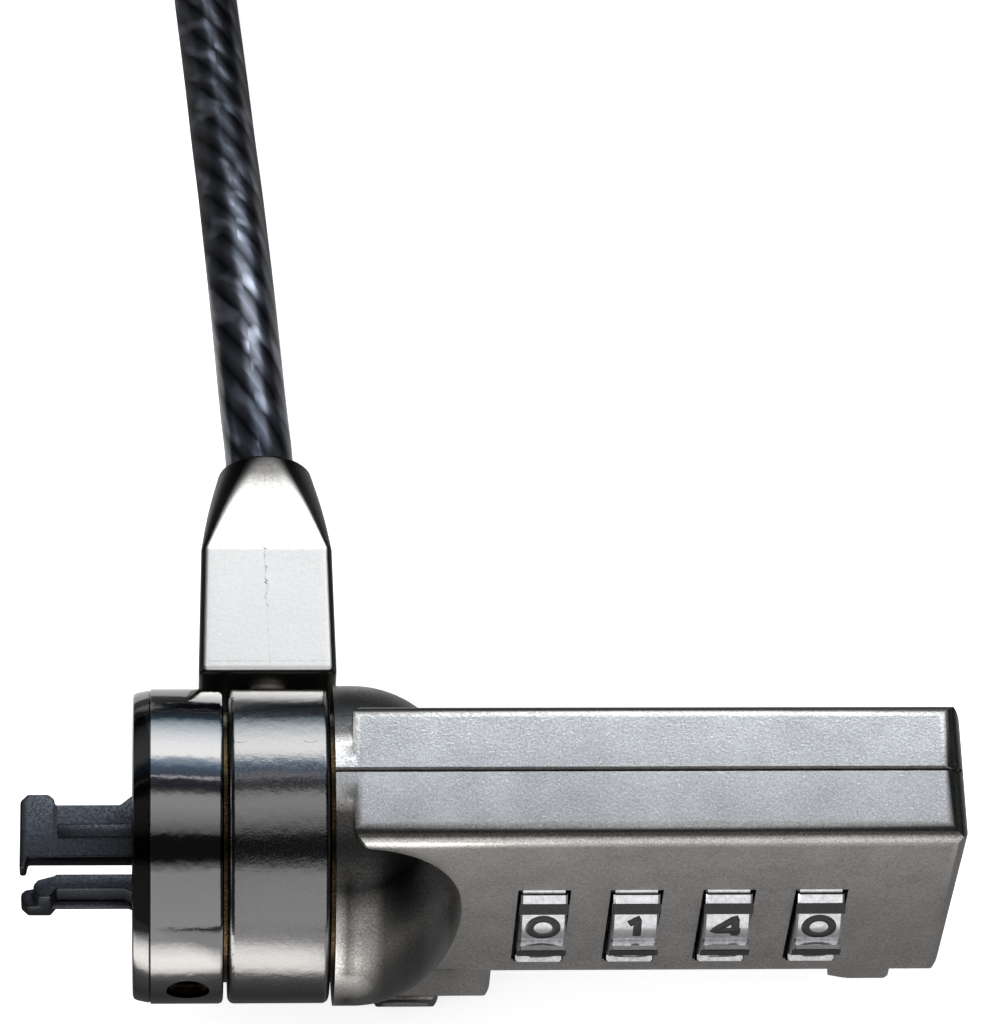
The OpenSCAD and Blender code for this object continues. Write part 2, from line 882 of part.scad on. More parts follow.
// The coil, then the bend that brings the free end across it into the sleeve
function coil_route(n) =
    let (last = coil_point(coil_turns), cx = last[0] - tail_r)
    concat(
        [[coil_x - coil_r, coil_y - 6, drop], [coil_x - coil_r, coil_y, drop]],
        [for (k = [1 : coil_turns * n]) coil_point(k / n)],
        [for (a = [15 : 15 : 90]) [cx + tail_r * cos(a), coil_y - tail_r * sin(a), sleeve_z]],
        [[sleeve_x + 0.5, coil_y - tail_r, sleeve_z], [sleeve_x - 4.9, coil_y - tail_r, sleeve_z]]
    );
// Least gap between two parts of the coil that are at least a third of a turn apart
function least_gap(p, step) =
    min([for (i = [0 : len(p) - 1]) for (j = [i + step : len(p) - 1]) norm(p[i] - p[j])]) - cable_d;

module cable_coil() {
    fine = coil_route(2 * turn_steps);
    echo(coil_gap = least_gap(fine, round(turn_steps * 2 / 3)));
    color([0.1, 0.1, 0.11])
        tube(coil_route(turn_steps), cr, 6, [0, 0, 1]);
}

module loop_sleeve() {
    color([0.8, 0.8, 0.79])
        translate([0, sleeve_y, sleeve_z])
            difference() {
                along_x(sleeve_x - sleeve_len, sleeve_x)
                    round_rect(-sleeve_w / 2, sleeve_w / 2, -sleeve_t / 2, sleeve_t / 2, 2.2);
                translate([0, leg, 0])
                    xcyl(cr + 0.1, sleeve_x - sleeve_len - 1, sleeve_x + 1);
                translate([0, -leg, 0])
                    xcyl(cr + 0.1, sleeve_x - sleeve_len - 1, sleeve_x - 2);
            }
}

module end_loop() {
    front = sleeve_x - sleeve_len;
    n = len(eye_half);
    route = concat(
        [[sleeve_x - 5.0, leg]],
        [for (q = eye_half) [front - q[0], q[1]]],
        [for (k = [n - 1 : -1 : 0]) [front - eye_half[k][0], -eye_half[k][1]]],
        [[sleeve_x - 2.1, -leg]]
    );
    color([0.1, 0.1, 0.11])
        tube([for (q = route) [q[0], sleeve_y + q[1], sleeve_z]], cr, 8, [0, 0, 1]);
}

front_housing();
rear_housing();
core_barrel();
nose_ring();
nose_set_screw();
front_washer();
rear_washer();
swivel_ring();
cable_ferrule();
fixed_hook();
moving_hook();
hook_pivot_pin();
hook_anchor_pin_a();
hook_anchor_pin_b();
hook_driver();
slide_carrier();
release_slide();
lock_spindle();
spring_collar();
release_spring();
dial_1();
dial_2();
dial_3();
dial_4();
dial_hub_1();
dial_hub_2();
dial_hub_3();
dial_hub_4();
detent_spring();
locating_pin_a();
locating_pin_b();
locating_pin_c();
reset_screw();
cable_run();
cable_coil();
loop_sleeve();
end_loop();
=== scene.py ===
"""Laptop cable lock: the finished look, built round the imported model.

The head lies along X with its nose face at X = 0, the dials face -Y, the cable leaves toward +Y
and the release nub points down. Lengths are in metres, or in millimetres where a docstring says so.
"""

import logging
import math
import random
from dataclasses import dataclass
from enum import Enum
from typing import Callable, Sequence

import bpy
from mathutils import Matrix, Vector


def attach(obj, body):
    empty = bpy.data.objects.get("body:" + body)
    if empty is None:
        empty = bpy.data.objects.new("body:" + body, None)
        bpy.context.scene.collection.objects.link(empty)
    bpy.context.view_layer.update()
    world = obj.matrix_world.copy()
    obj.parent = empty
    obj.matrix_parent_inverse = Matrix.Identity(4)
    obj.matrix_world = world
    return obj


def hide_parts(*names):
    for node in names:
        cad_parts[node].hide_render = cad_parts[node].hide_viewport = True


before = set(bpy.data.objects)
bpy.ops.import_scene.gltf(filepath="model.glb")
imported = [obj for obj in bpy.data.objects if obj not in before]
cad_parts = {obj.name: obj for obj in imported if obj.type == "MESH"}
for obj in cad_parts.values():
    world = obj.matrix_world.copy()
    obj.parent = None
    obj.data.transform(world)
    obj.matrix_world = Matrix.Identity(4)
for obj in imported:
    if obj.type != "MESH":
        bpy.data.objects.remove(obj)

LOG = logging.getLogger("cable_lock")
MM = 0.001
MERGE = 2e-6  # points of a mesh that are nearer than this are one
Point = tuple[float, float, float]
Colour = float | Point
Stops = Sequence[tuple[float, Colour]]
Piece = bpy.types.Object
Socket = bpy.types.NodeSocket
Value = float | Socket


class Body(str, Enum):
    """The rigid bodies that pieces ride on."""

    HOUSING = "housing"
    SWIVEL = "swivel"
    RELEASE = "release"
    HOOK = "moving_hook_body"
    DIAL_1 = "dial_1_body"
    DIAL_2 = "dial_2_body"
    DIAL_3 = "dial_3_body"
    DIAL_4 = "dial_4_body"
    RESET = "reset_screw_body"


# ---- Workbench: small helpers round Blender's own modelling tools ----


def deselect() -> None:
    """Leaves nothing selected."""
    bpy.ops.object.select_all(action="DESELECT")


def make_active(piece: Piece) -> None:
    """Selects one piece alone and makes it the active one.

    Args:
        piece: the object to work on.
    """
    deselect()
    piece.select_set(True)
    bpy.context.view_layer.objects.active = piece


def settle(piece: Piece) -> Piece:
    """Puts a piece's place into its mesh, so that its object sits at the origin.

    Args:
        piece: the object to settle.

    Returns:
        The same object.
    """
    make_active(piece)
    bpy.ops.object.transform_apply(location=True, rotation=True, scale=True)
    return piece


def smooth(piece: Piece, degrees: float = 30.0) -> Piece:
    """Shades a piece smooth, with sharp edges where faces meet at more than an angle.

    Args:
        piece: the object to shade.
        degrees: the largest angle that still counts as smooth.

    Returns:
        The same object.
    """
    make_active(piece)
    bpy.ops.object.shade_smooth_by_angle(angle=math.radians(degrees))
    return piece


def edit(piece: Piece, *steps: Callable[[], set[str]]) -> Piece:
    """Runs steps in edit mode on the whole of a piece's mesh.

    Args:
        piece: the object to edit.
        steps: the operator calls, in order.

    Returns:
        The same object.
    """
    make_active(piece)
    bpy.ops.object.mode_set(mode="EDIT")
    bpy.ops.mesh.select_all(action="SELECT")
    for step in steps:
        step()
    bpy.ops.object.mode_set(mode="OBJECT")
    return piece


def outward(piece: Piece, merge: float = 1e-7) -> Piece:
    """Merges doubles and points every face outward.

    Args:
        piece: a closed mesh.
        merge: points nearer than this become one.

    Returns:
        The same object.
    """
    return edit(
        piece,
        lambda: bpy.ops.mesh.remove_doubles(threshold=merge),
        lambda: bpy.ops.mesh.normals_make_consistent(inside=False),
    )


def rounded(piece: Piece, width: float) -> Piece:
    """Rounds every edge of a convex piece by a width in millimetres, and shades it."""
    return smooth(edit(piece, lambda: bpy.ops.mesh.bevel(offset=width * MM, segments=2)), 40.0)


def add_object(name: str, data: bpy.types.ID) -> Piece:
    """Puts a new object into the scene.

    Args:
        name: its name.
        data: its mesh, curve, lamp or camera.

    Returns:
        The object.
    """
    piece = bpy.data.objects.new(name, data)
    bpy.context.scene.collection.objects.link(piece)
    return piece


def shell(name: str, points: Sequence[Vector], sides: int) -> Piece:
    """A closed tube through rings of points.

    Args:
        name: the object's name.
        points: the points, ring by ring, in metres.
        sides: how many points a ring has.

    Returns:
        The object, whose two ends are its last faces.
    """
    last = len(points) - sides
    faces = []
    for k in range(0, last, sides):
        for j in range(sides):
            n = (j + 1) % sides
            faces.append((k + j, k + n, k + sides + n, k + sides + j))
    faces += [tuple(range(sides - 1, -1, -1)), tuple(range(last, last + sides))]
    mesh = bpy.data.meshes.new(name)
    mesh.from_pydata(points, [], faces)
    return add_object(name, mesh)


def block(low: Point, high: Point) -> Piece:
    """A block to start from.

    Args:
        low: its lowest corner, in millimetres.
        high: its highest one.

    Returns:
        The object.
    """
    deselect()
    bpy.ops.mesh.primitive_cube_add(size=MM, location=[(a + b) / 2 * MM for a, b in zip(low, high)])
    piece = bpy.context.active_object
    piece.scale = [b - a for a, b in zip(low, high)]
    return settle(piece)


def finish_piece(
    piece: Piece, name: str, body: Body, finish: bpy.types.Material, nodes: Sequence[str] = ()
) -> Piece:
    """Names, dresses and seats a piece on its body, in place of the CAD nodes that it stands for.

    Args:
        piece: the object, already in place.
        name: its name.
        body: the body that it rides on.
        finish: its material.
        nodes: the CAD nodes that it replaces.

    Returns:
        The same object.
    """
    piece.name = name
    piece.data.name = name
    piece.data.materials.clear()
    piece.data.materials.append(finish)
    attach(piece, body.value)
    if nodes:
        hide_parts(*nodes)
    LOG.info("%s: %d faces on %s", name, len(piece.data.polygons), body.value)
    return piece


def copy_of_node(node: str) -> Piece:
    """A merged copy of a CAD node's mesh, ready to be shaded smooth.

    Args:
        node: the CAD node's name.

    Returns:
        The new object.
    """
    return edit(
        add_object(node + "_skin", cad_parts[node].data.copy()),
        lambda: bpy.ops.mesh.remove_doubles(threshold=MERGE),
        lambda: bpy.ops.mesh.customdata_custom_splitnormals_clear(),
    )


def eased_copy(node: str, ease: float, degrees: float = 35.0) -> Piece:
    """A copy of a CAD node's mesh whose sharp edges are rounded off.

    Args:
        node: the CAD node's name.
        ease: how far the rounding reaches from each edge, in millimetres.
        degrees: the least angle of an edge that is rounded.

    Returns:
        The new object.
    """
    flat = math.radians(1.0)
    piece = edit(copy_of_node(node), lambda: bpy.ops.mesh.dissolve_limited(angle_limit=flat))
    bevel = piece.modifiers.new("ease", "BEVEL")
    bevel.limit_method, bevel.angle_limit = "ANGLE", math.radians(degrees)
    bevel.width, bevel.segments = ease * MM, 3
    bevel.use_clamp_overlap = False
    bpy.ops.object.modifier_apply(modifier=bevel.name)
    return smooth(piece, 40.0)


def joined(pieces: Sequence[Piece]) -> Piece:
    """Joins pieces into the first one.

    Args:
        pieces: the objects.

    Returns:
        The first object, which now holds them all.
    """
    deselect()
    for piece in pieces:
        piece.select_set(True)
    bpy.context.view_layer.objects.active = pieces[0]
    bpy.ops.object.join()
    return bpy.context.active_object


def between(a: Sequence[float], b: Sequence[float], step: float) -> list[tuple[float, ...]]:
    """Points from a to b, both included, about a step apart."""
    count = max(2, round((Vector(b) - Vector(a)).length / step))
    return [tuple(p + (q - p) * k / count for p, q in zip(a, b)) for k in range(count + 1)]


@dataclass(frozen=True)
class HairLine:
    """A thin ragged ridge on a surface, such as flash on a parting line. Sizes in millimetres.

    Attributes:
        half_width: half of its width.
        proud: how far it stands out.
        jitter: how far it wanders to the side.
        seed: seeds its raggedness.
        reach_range: its least and greatest share of the half width.
        top_range: its least and greatest share of the height.
        sink: how deep its foot is below the surface, in half widths.
    """

    half_width: float
    proud: float
    jitter: float
    seed: int
    reach_range: tuple[float, float] = (0.45, 1.3)
    top_range: tuple[float, float] = (0.2, 1.4)
    sink: float = 4.0

    def follow(self, path: Sequence[tuple[float, ...]]) -> Piece:
        """Lays the ridge along a path.

        Args:
            path: points, each with the surface's outward direction: (x, y, z, nx, ny, nz).

        Returns:
            The object.
        """
        dice = random.Random(self.seed)
        points = []
        for k, spot in enumerate(path):
            at, out = Vector(spot[:3]), Vector(spot[3:]).normalized()
            ahead = Vector(path[min(k + 1, len(path) - 1)][:3]) - Vector(path[max(k - 1, 0)][:3])
            side = ahead.normalized().cross(out)
            shift = dice.uniform(-self.jitter, self.jitter)
            reach = self.half_width * dice.uniform(*self.reach_range)
            top = self.proud * dice.uniform(*self.top_range)
            foot = at + side * shift - out * self.sink * self.half_width
            crest = at + side * shift + out * top
            points += [p * MM for p in (foot + side * reach, crest, foot - side * reach)]
        return outward(shell("hair_line", points, 3))

    def straight(self, a: Point, b: Point, step: float, out: Point = (0.0, 0.0, 1.0)) -> Piece:
        """Lays the ridge from a to b on a surface that faces out, with a point at each step."""
        return self.follow([(*q, *out) for q in between(a, b, step)])


# ---- Node graphs ----


class Graph:
    """Adds nodes to one tree and links them."""

    def __init__(self, tree: bpy.types.NodeTree) -> None:
        """Starts on a tree that the nodes go into."""
        self.tree = tree

    def add(self, kind: str, inputs: dict | None = None, **settings) -> bpy.types.Node:
        """Adds a node.

        Args:
            kind: its type name after ShaderNode, or the full name of another type.
            inputs: a value or an output socket for each input, by name or number.
            settings: the node's own properties.

        Returns:
            The node.
        """
        node = self.tree.nodes.new(kind if kind.startswith("Node") else "ShaderNode" + kind)
        for key, value in settings.items():
            setattr(node, key, value)
        for key, value in (inputs or {}).items():
            if isinstance(value, Socket):
                self.tree.links.new(value, node.inputs[key])
            else:
                node.inputs[key].default_value = value
        return node

    def feed(self, node: bpy.types.Node, **outputs: Socket) -> None:
        """Links outputs to a node's inputs of the same names, with spaces for underscores."""
        for name, output in outputs.items():
            self.tree.links.new(output, node.inputs[name.replace("_", " ")])

    def math(self, operation: str, a: Value, b: Value = 0.0, c: Value = 0.0, clamp: bool = False) -> Socket:
        """A Math node's result, kept from 0 to 1 if clamped."""
        return self.add("Math", {0: a, 1: b, 2: c}, operation=operation, use_clamp=clamp).outputs[0]

    def spread(self, value: Socket, low: float, high: float, start: float = 0.0, end: float = 1.0) -> Socket:
        """Start where the value is low, end where it is high, and even between and beyond."""
        return self.add("MapRange", {0: value, 1: low, 2: high, 3: start, 4: end}).outputs[0]

    def axes(self, output: str) -> bpy.types.bpy_prop_collection:
        """The X, Y and Z outputs of a texture coordinate."""
        return self.add("SeparateXYZ", {0: self.add("TexCoord").outputs[output]}).outputs

    def noise(self, scale: Value, detail: float, roughness: float = 0.5) -> Socket:
        """A noise in the piece's own space."""
        inputs = {"Vector": self.add("TexCoord").outputs["Object"], "Scale": scale}
        return self.add("TexNoise", {**inputs, "Detail": detail, "Roughness": roughness}).outputs["Fac"]

    def bump(self, height: Socket, distance: float) -> Socket:
        """The normal of a surface with a bump of this height."""
        return self.add("Bump", {"Height": height, "Strength": 1.0, "Distance": distance}).outputs[0]

    def ramp(self, factor: Socket, stops: Stops) -> Socket:
        """A colour ramp's colour.

        Args:
            factor: the socket that drives it.
            stops: (position, colour) pairs; a colour is a number or three numbers.

        Returns:
            The output socket.
        """
        node = self.add("ValToRGB", {"Fac": factor})
        elements = node.color_ramp.elements
        while len(elements) < len(stops):
            elements.new(0.5)
        for element, (position, colour) in zip(elements, stops):
            element.position = position
            element.color = rgba(colour)
        return node.outputs["Color"]

    def mix(self, factor: Socket, a: Colour | Socket, b: Colour | Socket) -> Socket:
        """A mix of two colours, where 0 gives a and 1 gives b."""
        a, b = (c if isinstance(c, Socket) else rgba(c) for c in (a, b))
        return self.add("Mix", {0: factor, 6: a, 7: b}, data_type="RGBA").outputs[2]

    def tint(self, colour: Socket, tone: Socket) -> Socket:
        """A colour times a tone."""
        inputs = {"Fac": 1.0, "Color1": colour, "Color2": tone}
        return self.add("MixRGB", inputs, blend_type="MULTIPLY").outputs[0]


def rgba(colour: Colour) -> tuple[float, float, float, float]:
    """A colour with alpha, from a grey level or a red, green and blue triple."""
    return (colour,) * 3 + (1.0,) if isinstance(colour, (int, float)) else (*colour[:3], 1.0)


def new_group(
    name: str, inputs: dict[str, float], outputs: Sequence[str]
) -> tuple[Graph, dict[str, Socket], bpy.types.Node]:
    """Starts a shader node group.

    Args:
        name: the group's name.
        inputs: the default of each float input.
        outputs: the names of its float outputs.

    Returns:
        A graph on the group, its input sockets by name and its output node.
    """
    tree = bpy.data.node_groups.new(name, "ShaderNodeTree")
    for key, value in inputs.items():
        tree.interface.new_socket(key, in_out="INPUT", socket_type="NodeSocketFloat").default_value = value
    for key in outputs:
        tree.interface.new_socket(key, in_out="OUTPUT", socket_type="NodeSocketFloat")
    graph = Graph(tree)
    start = graph.add("NodeGroupInput")
    return graph, {k: start.outputs[k] for k in inputs}, graph.add("NodeGroupOutput")


def cast_grain_group() -> bpy.types.NodeTree:
    """The grain of a blasted and plated casting: fine pits and specks, with a slow mottle."""
    sizes = {"Grain Scale": 5200.0, "Mottle Scale": 320.0}
    g, i, end = new_group("cast_grain", sizes, ["Specks", "Mottle", "Height"])
    fine = g.noise(i["Grain Scale"], 3.0, 0.6)
    pit_size, pit_share = 0.42, 0.35
    pit_scale = g.math("MULTIPLY", i["Grain Scale"], pit_size)
    where = g.add("TexCoord").outputs["Object"]
    pits = g.add("TexVoronoi", {"Vector": where, "Scale": pit_scale, "Randomness": 1.0}, feature="F1")
    height = g.math("ADD", fine, g.math("MULTIPLY", pits.outputs["Distance"], pit_share))
    mottle = g.spread(g.noise(i["Mottle Scale"], 2.0), 0.3, 0.7)
    g.feed(end, Specks=g.spread(fine, 0.36, 0.66), Mottle=mottle, Height=height)
    return g.tree


def orange_peel_group() -> bpy.types.NodeTree:
    """The slow ripple of a thick plating, with a finer grain on it."""
    sizes = {"Ripple Scale": 1500.0, "Grain Scale": 7000.0, "Fine Share": 0.2}
    g, i, end = new_group("orange_peel", sizes, ["Height", "Grain"])
    grain = g.noise(i["Grain Scale"], 2.0, 0.6)
    height = g.math("ADD", g.noise(i["Ripple Scale"], 1.0, 0.4), g.math("MULTIPLY", grain, i["Fine Share"]))
    g.feed(end, Height=height, Grain=grain)
    return g.tree


def strand_group() -> bpy.types.NodeTree:
    """The lay of the steel strands under the vinyl, read from the tube's own UV map."""
    g, i, end = new_group("steel_lay", {"Strands": 8.0, "Twists Per Metre": 34.0}, ["Strand", "Glint"])
    uv = g.add("SeparateXYZ", {0: g.add("UVMap", uv_map="lay").outputs["UV"]}).outputs
    turns = g.math("ADD", uv["Y"], g.math("MULTIPLY", uv["X"], i["Twists Per Metre"]))
    phase = g.math("MULTIPLY", turns, i["Strands"])
    patches_per_metre = 330.0
    where = g.add("CombineXYZ", {0: g.math("MULTIPLY", uv["X"], patches_per_metre), 1: phase}).outputs[0]
    patch = g.add("TexNoise", {"Vector": where, "Scale": 1.0, "Detail": 1.0}).outputs["Fac"]
    g.feed(end, Strand=g.math("PINGPONG", phase, 0.5), Glint=g.spread(patch, 0.55, 0.72))
    return g.tree


# ---- Finishes ----


@dataclass(frozen=True)
class Finish:
    """A plain metal or enamel finish with a fine grain, and painted shade where given.

    Attributes:
        name: the material's name.
        colour: base colour, linear.
        dark: the colour in its pits.
        metallic: 1 for bare metal, 0 for enamel or vinyl.
        roughness: (smoothest, roughest) share over the grain.
        bump: height of the grain.
        grain: how many grains a metre holds.
        painted_rim_shade: for an axis, how dark the painted shade is against how far the surface faces along
            it.
        painted_shade_x: (start, end, stops) of a length along X darkened as painted shade, off the level top.
        painted_shade_y: (start, end, stops) of painted shade that changes along Y.
        mottle_share: the mottle's part in the colour, against that of the grain's specks.
    """

    name: str
    colour: Point
    dark: Point
    metallic: float = 1.0
    roughness: tuple[float, float] = (0.3, 0.45)
    bump: float = 4e-6
    grain: float = 5200.0
    painted_rim_shade: tuple[tuple[str, Stops], ...] = ()
    painted_shade_x: tuple = ()
    painted_shade_y: tuple = ()
    mottle_share: float = 0.25

    def start(self) -> tuple[bpy.types.Material, Graph, bpy.types.Node]:
        """A new material with its shader.

        Returns:
            The material, a graph on it and the shader node.
        """
        material = bpy.data.materials.new(self.name)
        material.use_nodes = True
        material.node_tree.nodes.clear()
        g = Graph(material.node_tree)
        shader = g.add("BsdfPrincipled", {"Metallic": self.metallic})
        g.add("OutputMaterial", {"Surface": shader.outputs[0]})
        return material, g, shader

    def painted_shade_x_tone(self, g: Graph, faces: bpy.types.bpy_prop_collection) -> Socket:
        """The painted shade's tone, on slanting faces below the bar's top, and white elsewhere.

        Args:
            g: the material's graph.
            faces: how far the surface faces along X, Y and Z.

        Returns:
            The output socket.
        """
        begin, finish, stops = self.painted_shade_x
        soft_start, soft_end = 1.2 * MM, 0.6 * MM
        place = g.axes("Object")
        starts = g.spread(place["X"], begin, begin + soft_start)
        ends = g.spread(place["X"], finish - soft_end, finish, 1.0, 0.0)
        square = g.math("MAXIMUM", faces["Z"], g.math("ABSOLUTE", faces["Y"]))
        slanting = g.spread(square, 0.985, 0.999, 1.0, 0.0)
        below = g.spread(place["Z"], 8.4 * MM, 9.6 * MM, 1.0, 0.0)
        inside = g.math("MULTIPLY", g.math("MULTIPLY", starts, ends), g.math("MULTIPLY", slanting, below))
        return g.mix(inside, 1.0, g.ramp(g.spread(place["X"], begin, finish), stops))

    def build(self, library: "FinishLibrary") -> bpy.types.Material:
        """Makes the material.

        Args:
            library: where the shared node groups are.

        Returns:
            The material.
        """
        material, g, shader = self.start()
        grain = g.add("Group", node_tree=library.cast_grain)
        grain.inputs["Grain Scale"].default_value = self.grain
        specks = grain.outputs["Specks"]
        bright = g.math("MULTIPLY", specks, 1.0 - self.mottle_share)
        share = g.math("MULTIPLY_ADD", grain.outputs["Mottle"], self.mottle_share, bright)
        colour = g.mix(share, self.dark, self.colour)
        faces = g.axes("Normal")
        # painted shade: darker by how far the surface faces along each axis
        for axis, stops in self.painted_rim_shade:
            colour = g.tint(colour, g.ramp(g.math("ABSOLUTE", faces[axis]), stops))
        # painted shade along Y: the ferrule's taper darkens toward its tip
        if self.painted_shade_y:
            begin, finish, stops = self.painted_shade_y
            colour = g.tint(colour, g.ramp(g.spread(g.axes("Object")["Y"], begin, finish), stops))
        # painted shade along X on the dome and the slanting faces below the top
        if self.painted_shade_x:
            colour = g.tint(colour, self.painted_shade_x_tone(g, faces))
        rough = g.spread(specks, 0.0, 1.0, self.roughness[1], self.roughness[0])
        g.feed(shader, Base_Color=colour, Roughness=rough, Normal=g.bump(grain.outputs["Height"], self.bump))
        return material


@dataclass(frozen=True)
class PlatedFinish(Finish):
    """A dark mirror plating with orange peel.

    Attributes:
        ripple: height of the orange peel.
        fine: share of the fine grain in it.
    """

    ripple: float = 9e-6
    fine: float = 0.2

    def build(self, library: "FinishLibrary") -> bpy.types.Material:
        """Makes the material.

        Args:
            library: where the shared node groups are.

        Returns:
            The material.
        """
        material, g, shader = self.start()
        peel = g.add("Group", node_tree=library.orange_peel)
        peel.inputs["Fine Share"].default_value = self.fine
        grain = peel.outputs["Grain"]
        rough = g.spread(grain, 0.3, 0.7, *self.roughness)
        bump = g.bump(peel.outputs["Height"], self.ripple)
        g.feed(shader, Base_Color=g.mix(grain, self.dark, self.colour), Roughness=rough, Normal=bump)
        return material


@dataclass(frozen=True)
class VinylFinish(Finish):
    """Clear black vinyl over twisted steel wire.

    Attributes:
        coat: how strongly the vinyl's own skin shines.
        strand_share: the strands' part in the bright colour, against that of the glints.
    """

    coat: float = 0.15
    strand_share: float = 0.35

    def build(self, library: "FinishLibrary") -> bpy.types.Material:
        """Makes the material.

        Args:
            library: where the shared node groups are.

        Returns:
            The material.
        """
        material, g, shader = self.start()
        lay = g.add("Group", node_tree=library.steel_lay)
        ridge = g.math("MULTIPLY", lay.outputs["Strand"], 2.0)
        glint = g.math("MULTIPLY", lay.outputs["Glint"], 1.0 - self.strand_share)
        bright = g.math("MULTIPLY_ADD", ridge, self.strand_share, glint, clamp=True)
        g.feed(shader, Base_Color=g.mix(bright, self.dark, self.colour), Normal=g.bump(ridge, self.bump))
        for name, value in (
            ("Roughness", self.roughness[0]), ("Coat Weight", self.coat), ("Coat Roughness", self.roughness[1])
        ):
            shader.inputs[name].default_value = value
        return material


FINISHES: dict[str, Finish] = {
    "pewter": Finish(
        "pewter_with_painted_shade", (0.8, 0.77, 0.745), (0.39, 0.375, 0.36), roughness=(0.26, 0.36), bump=1.3e-5,
        grain=7000.0,
        # painted shade and reflection: the rounded edges by the top and the faces turned to X are darkened
        painted_rim_shade=(
            ("Z", ((0.0, 1.0), (0.55, 1.0), (0.72, 0.14), (0.96, 0.14), (0.995, 1.0))),
            ("X", ((0.1, 1.0), (0.5, 0.85), (1.0, 0.5))),
        ),
        # painted light and shade: a profile of tones along X over the dome and slanting faces
        painted_shade_x=(0.0138, 0.0236, (
            (0.0, 0.3), (0.13, 0.2), (0.2, 0.4), (0.31, 0.36), (0.39, 0.15), (0.57, 0.12), (0.66, 0.15),
            (0.76, 0.34), (0.85, 0.42), (1.0, 0.5),
        )),
    ),
    "nickel": Finish(
        "satin_nickel_with_painted_shade", (0.95, 0.9, 0.84), (0.84, 0.795, 0.74), roughness=(0.32, 0.4), bump=5e-6, grain=4200.0,
        # painted shade: the ferrule's sides and slopes are darkened by how far they face up
        painted_rim_shade=(("Z", ((0.0, 0.3), (0.45, 0.06), (0.88, 0.06), (0.94, 0.8), (0.97, 1.0))),),
        # painted shade: the taper grows darker toward the tip
        painted_shade_y=(0.026, 0.0305, ((0.0, 1.0), (0.31, 0.6), (0.67, 0.17), (1.0, 0.04))),
    ),
    "blackened": Finish(
        "blackened_steel", (0.075, 0.08, 0.092), (0.03, 0.032, 0.038), roughness=(0.3, 0.5), bump=1.2e-5,
        grain=7000.0,
    ),
    "ring": PlatedFinish(
        "nose_ring_nickel", (0.214, 0.209, 0.209), (0.174, 0.17, 0.168), roughness=(0.04, 0.1)
    ),
    "swivel": PlatedFinish(
        "swivel_ring_nickel", (0.214, 0.209, 0.209), (0.15, 0.147, 0.144), roughness=(0.1, 0.2), ripple=1.3e-5,
        fine=0.5,
    ),
    "dial": Finish(
        "dial_nickel", (0.78, 0.78, 0.8), (0.55, 0.55, 0.57), roughness=(0.1, 0.2), bump=2e-6, grain=2600.0
    ),
    # painted shade: brass darkened far below its own colour for the shade in the washer gaps; the set screw
    # takes it too
    "brass": Finish("brass_with_painted_shade", (0.07, 0.048, 0.025), (0.03, 0.02, 0.01), roughness=(0.2, 0.4)),
    "steel": Finish("plain_steel", (0.4, 0.4, 0.41), (0.24, 0.24, 0.25), roughness=(0.25, 0.4)),
    "sleeve": Finish(
        "pressed_nickel", (0.72, 0.7, 0.66), (0.5, 0.48, 0.45), roughness=(0.3, 0.4), bump=5e-6, grain=4200.0
    ),
    # partly edge wear and partly painted highlight, for the light lines along the hooks' edges
    "rubbed_and_highlit": Finish("rubbed_and_highlit_edge", (0.3, 0.3, 0.33), (0.12, 0.12, 0.14), roughness=(0.25, 0.4), grain=9000.0),
    "spring": Finish("spring_steel", (0.45, 0.45, 0.46), (0.28, 0.28, 0.29), roughness=(0.15, 0.3)),
    "barrel": Finish("core_metal", (0.12, 0.12, 0.12), (0.05, 0.05, 0.05), roughness=(0.3, 0.5)),
    "flash": Finish(
        "raw_flash", (0.26, 0.22, 0.17), (0.07, 0.06, 0.05), roughness=(0.25, 0.45), bump=1.2e-5, grain=9000.0
    ),
    "score": Finish("score_line", (0.07, 0.07, 0.07), (0.03, 0.03, 0.03), roughness=(0.4, 0.6)),
    # black for the printed numbers and the dial strips, also used as painted shade in the hook's step
    "print_and_shade_black": Finish(
        "black_print_and_painted_shade", (0.012, 0.012, 0.013), (0.005, 0.005, 0.005), metallic=0.0, roughness=(0.2, 0.35),
        bump=1e-6,
    ),
    "vinyl": VinylFinish(
        "clear_black_vinyl", (0.31, 0.33, 0.4), (0.007, 0.009, 0.013), metallic=0.95, roughness=(0.28, 0.2),
        bump=3e-5,
    ),
}


class FinishLibrary(dict[str, bpy.types.Material]):
    """Every finish of the lock, made once each, under its name in FINISHES."""

    def __init__(self) -> None:
        """Makes the shared node groups and then the materials."""
        self.cast_grain = cast_grain_group()
        self.orange_peel = orange_peel_group()
        self.steel_lay = strand_group()
        for name, finish in FINISHES.items():
            self[name] = finish.build(self)


# ---- Studio ----


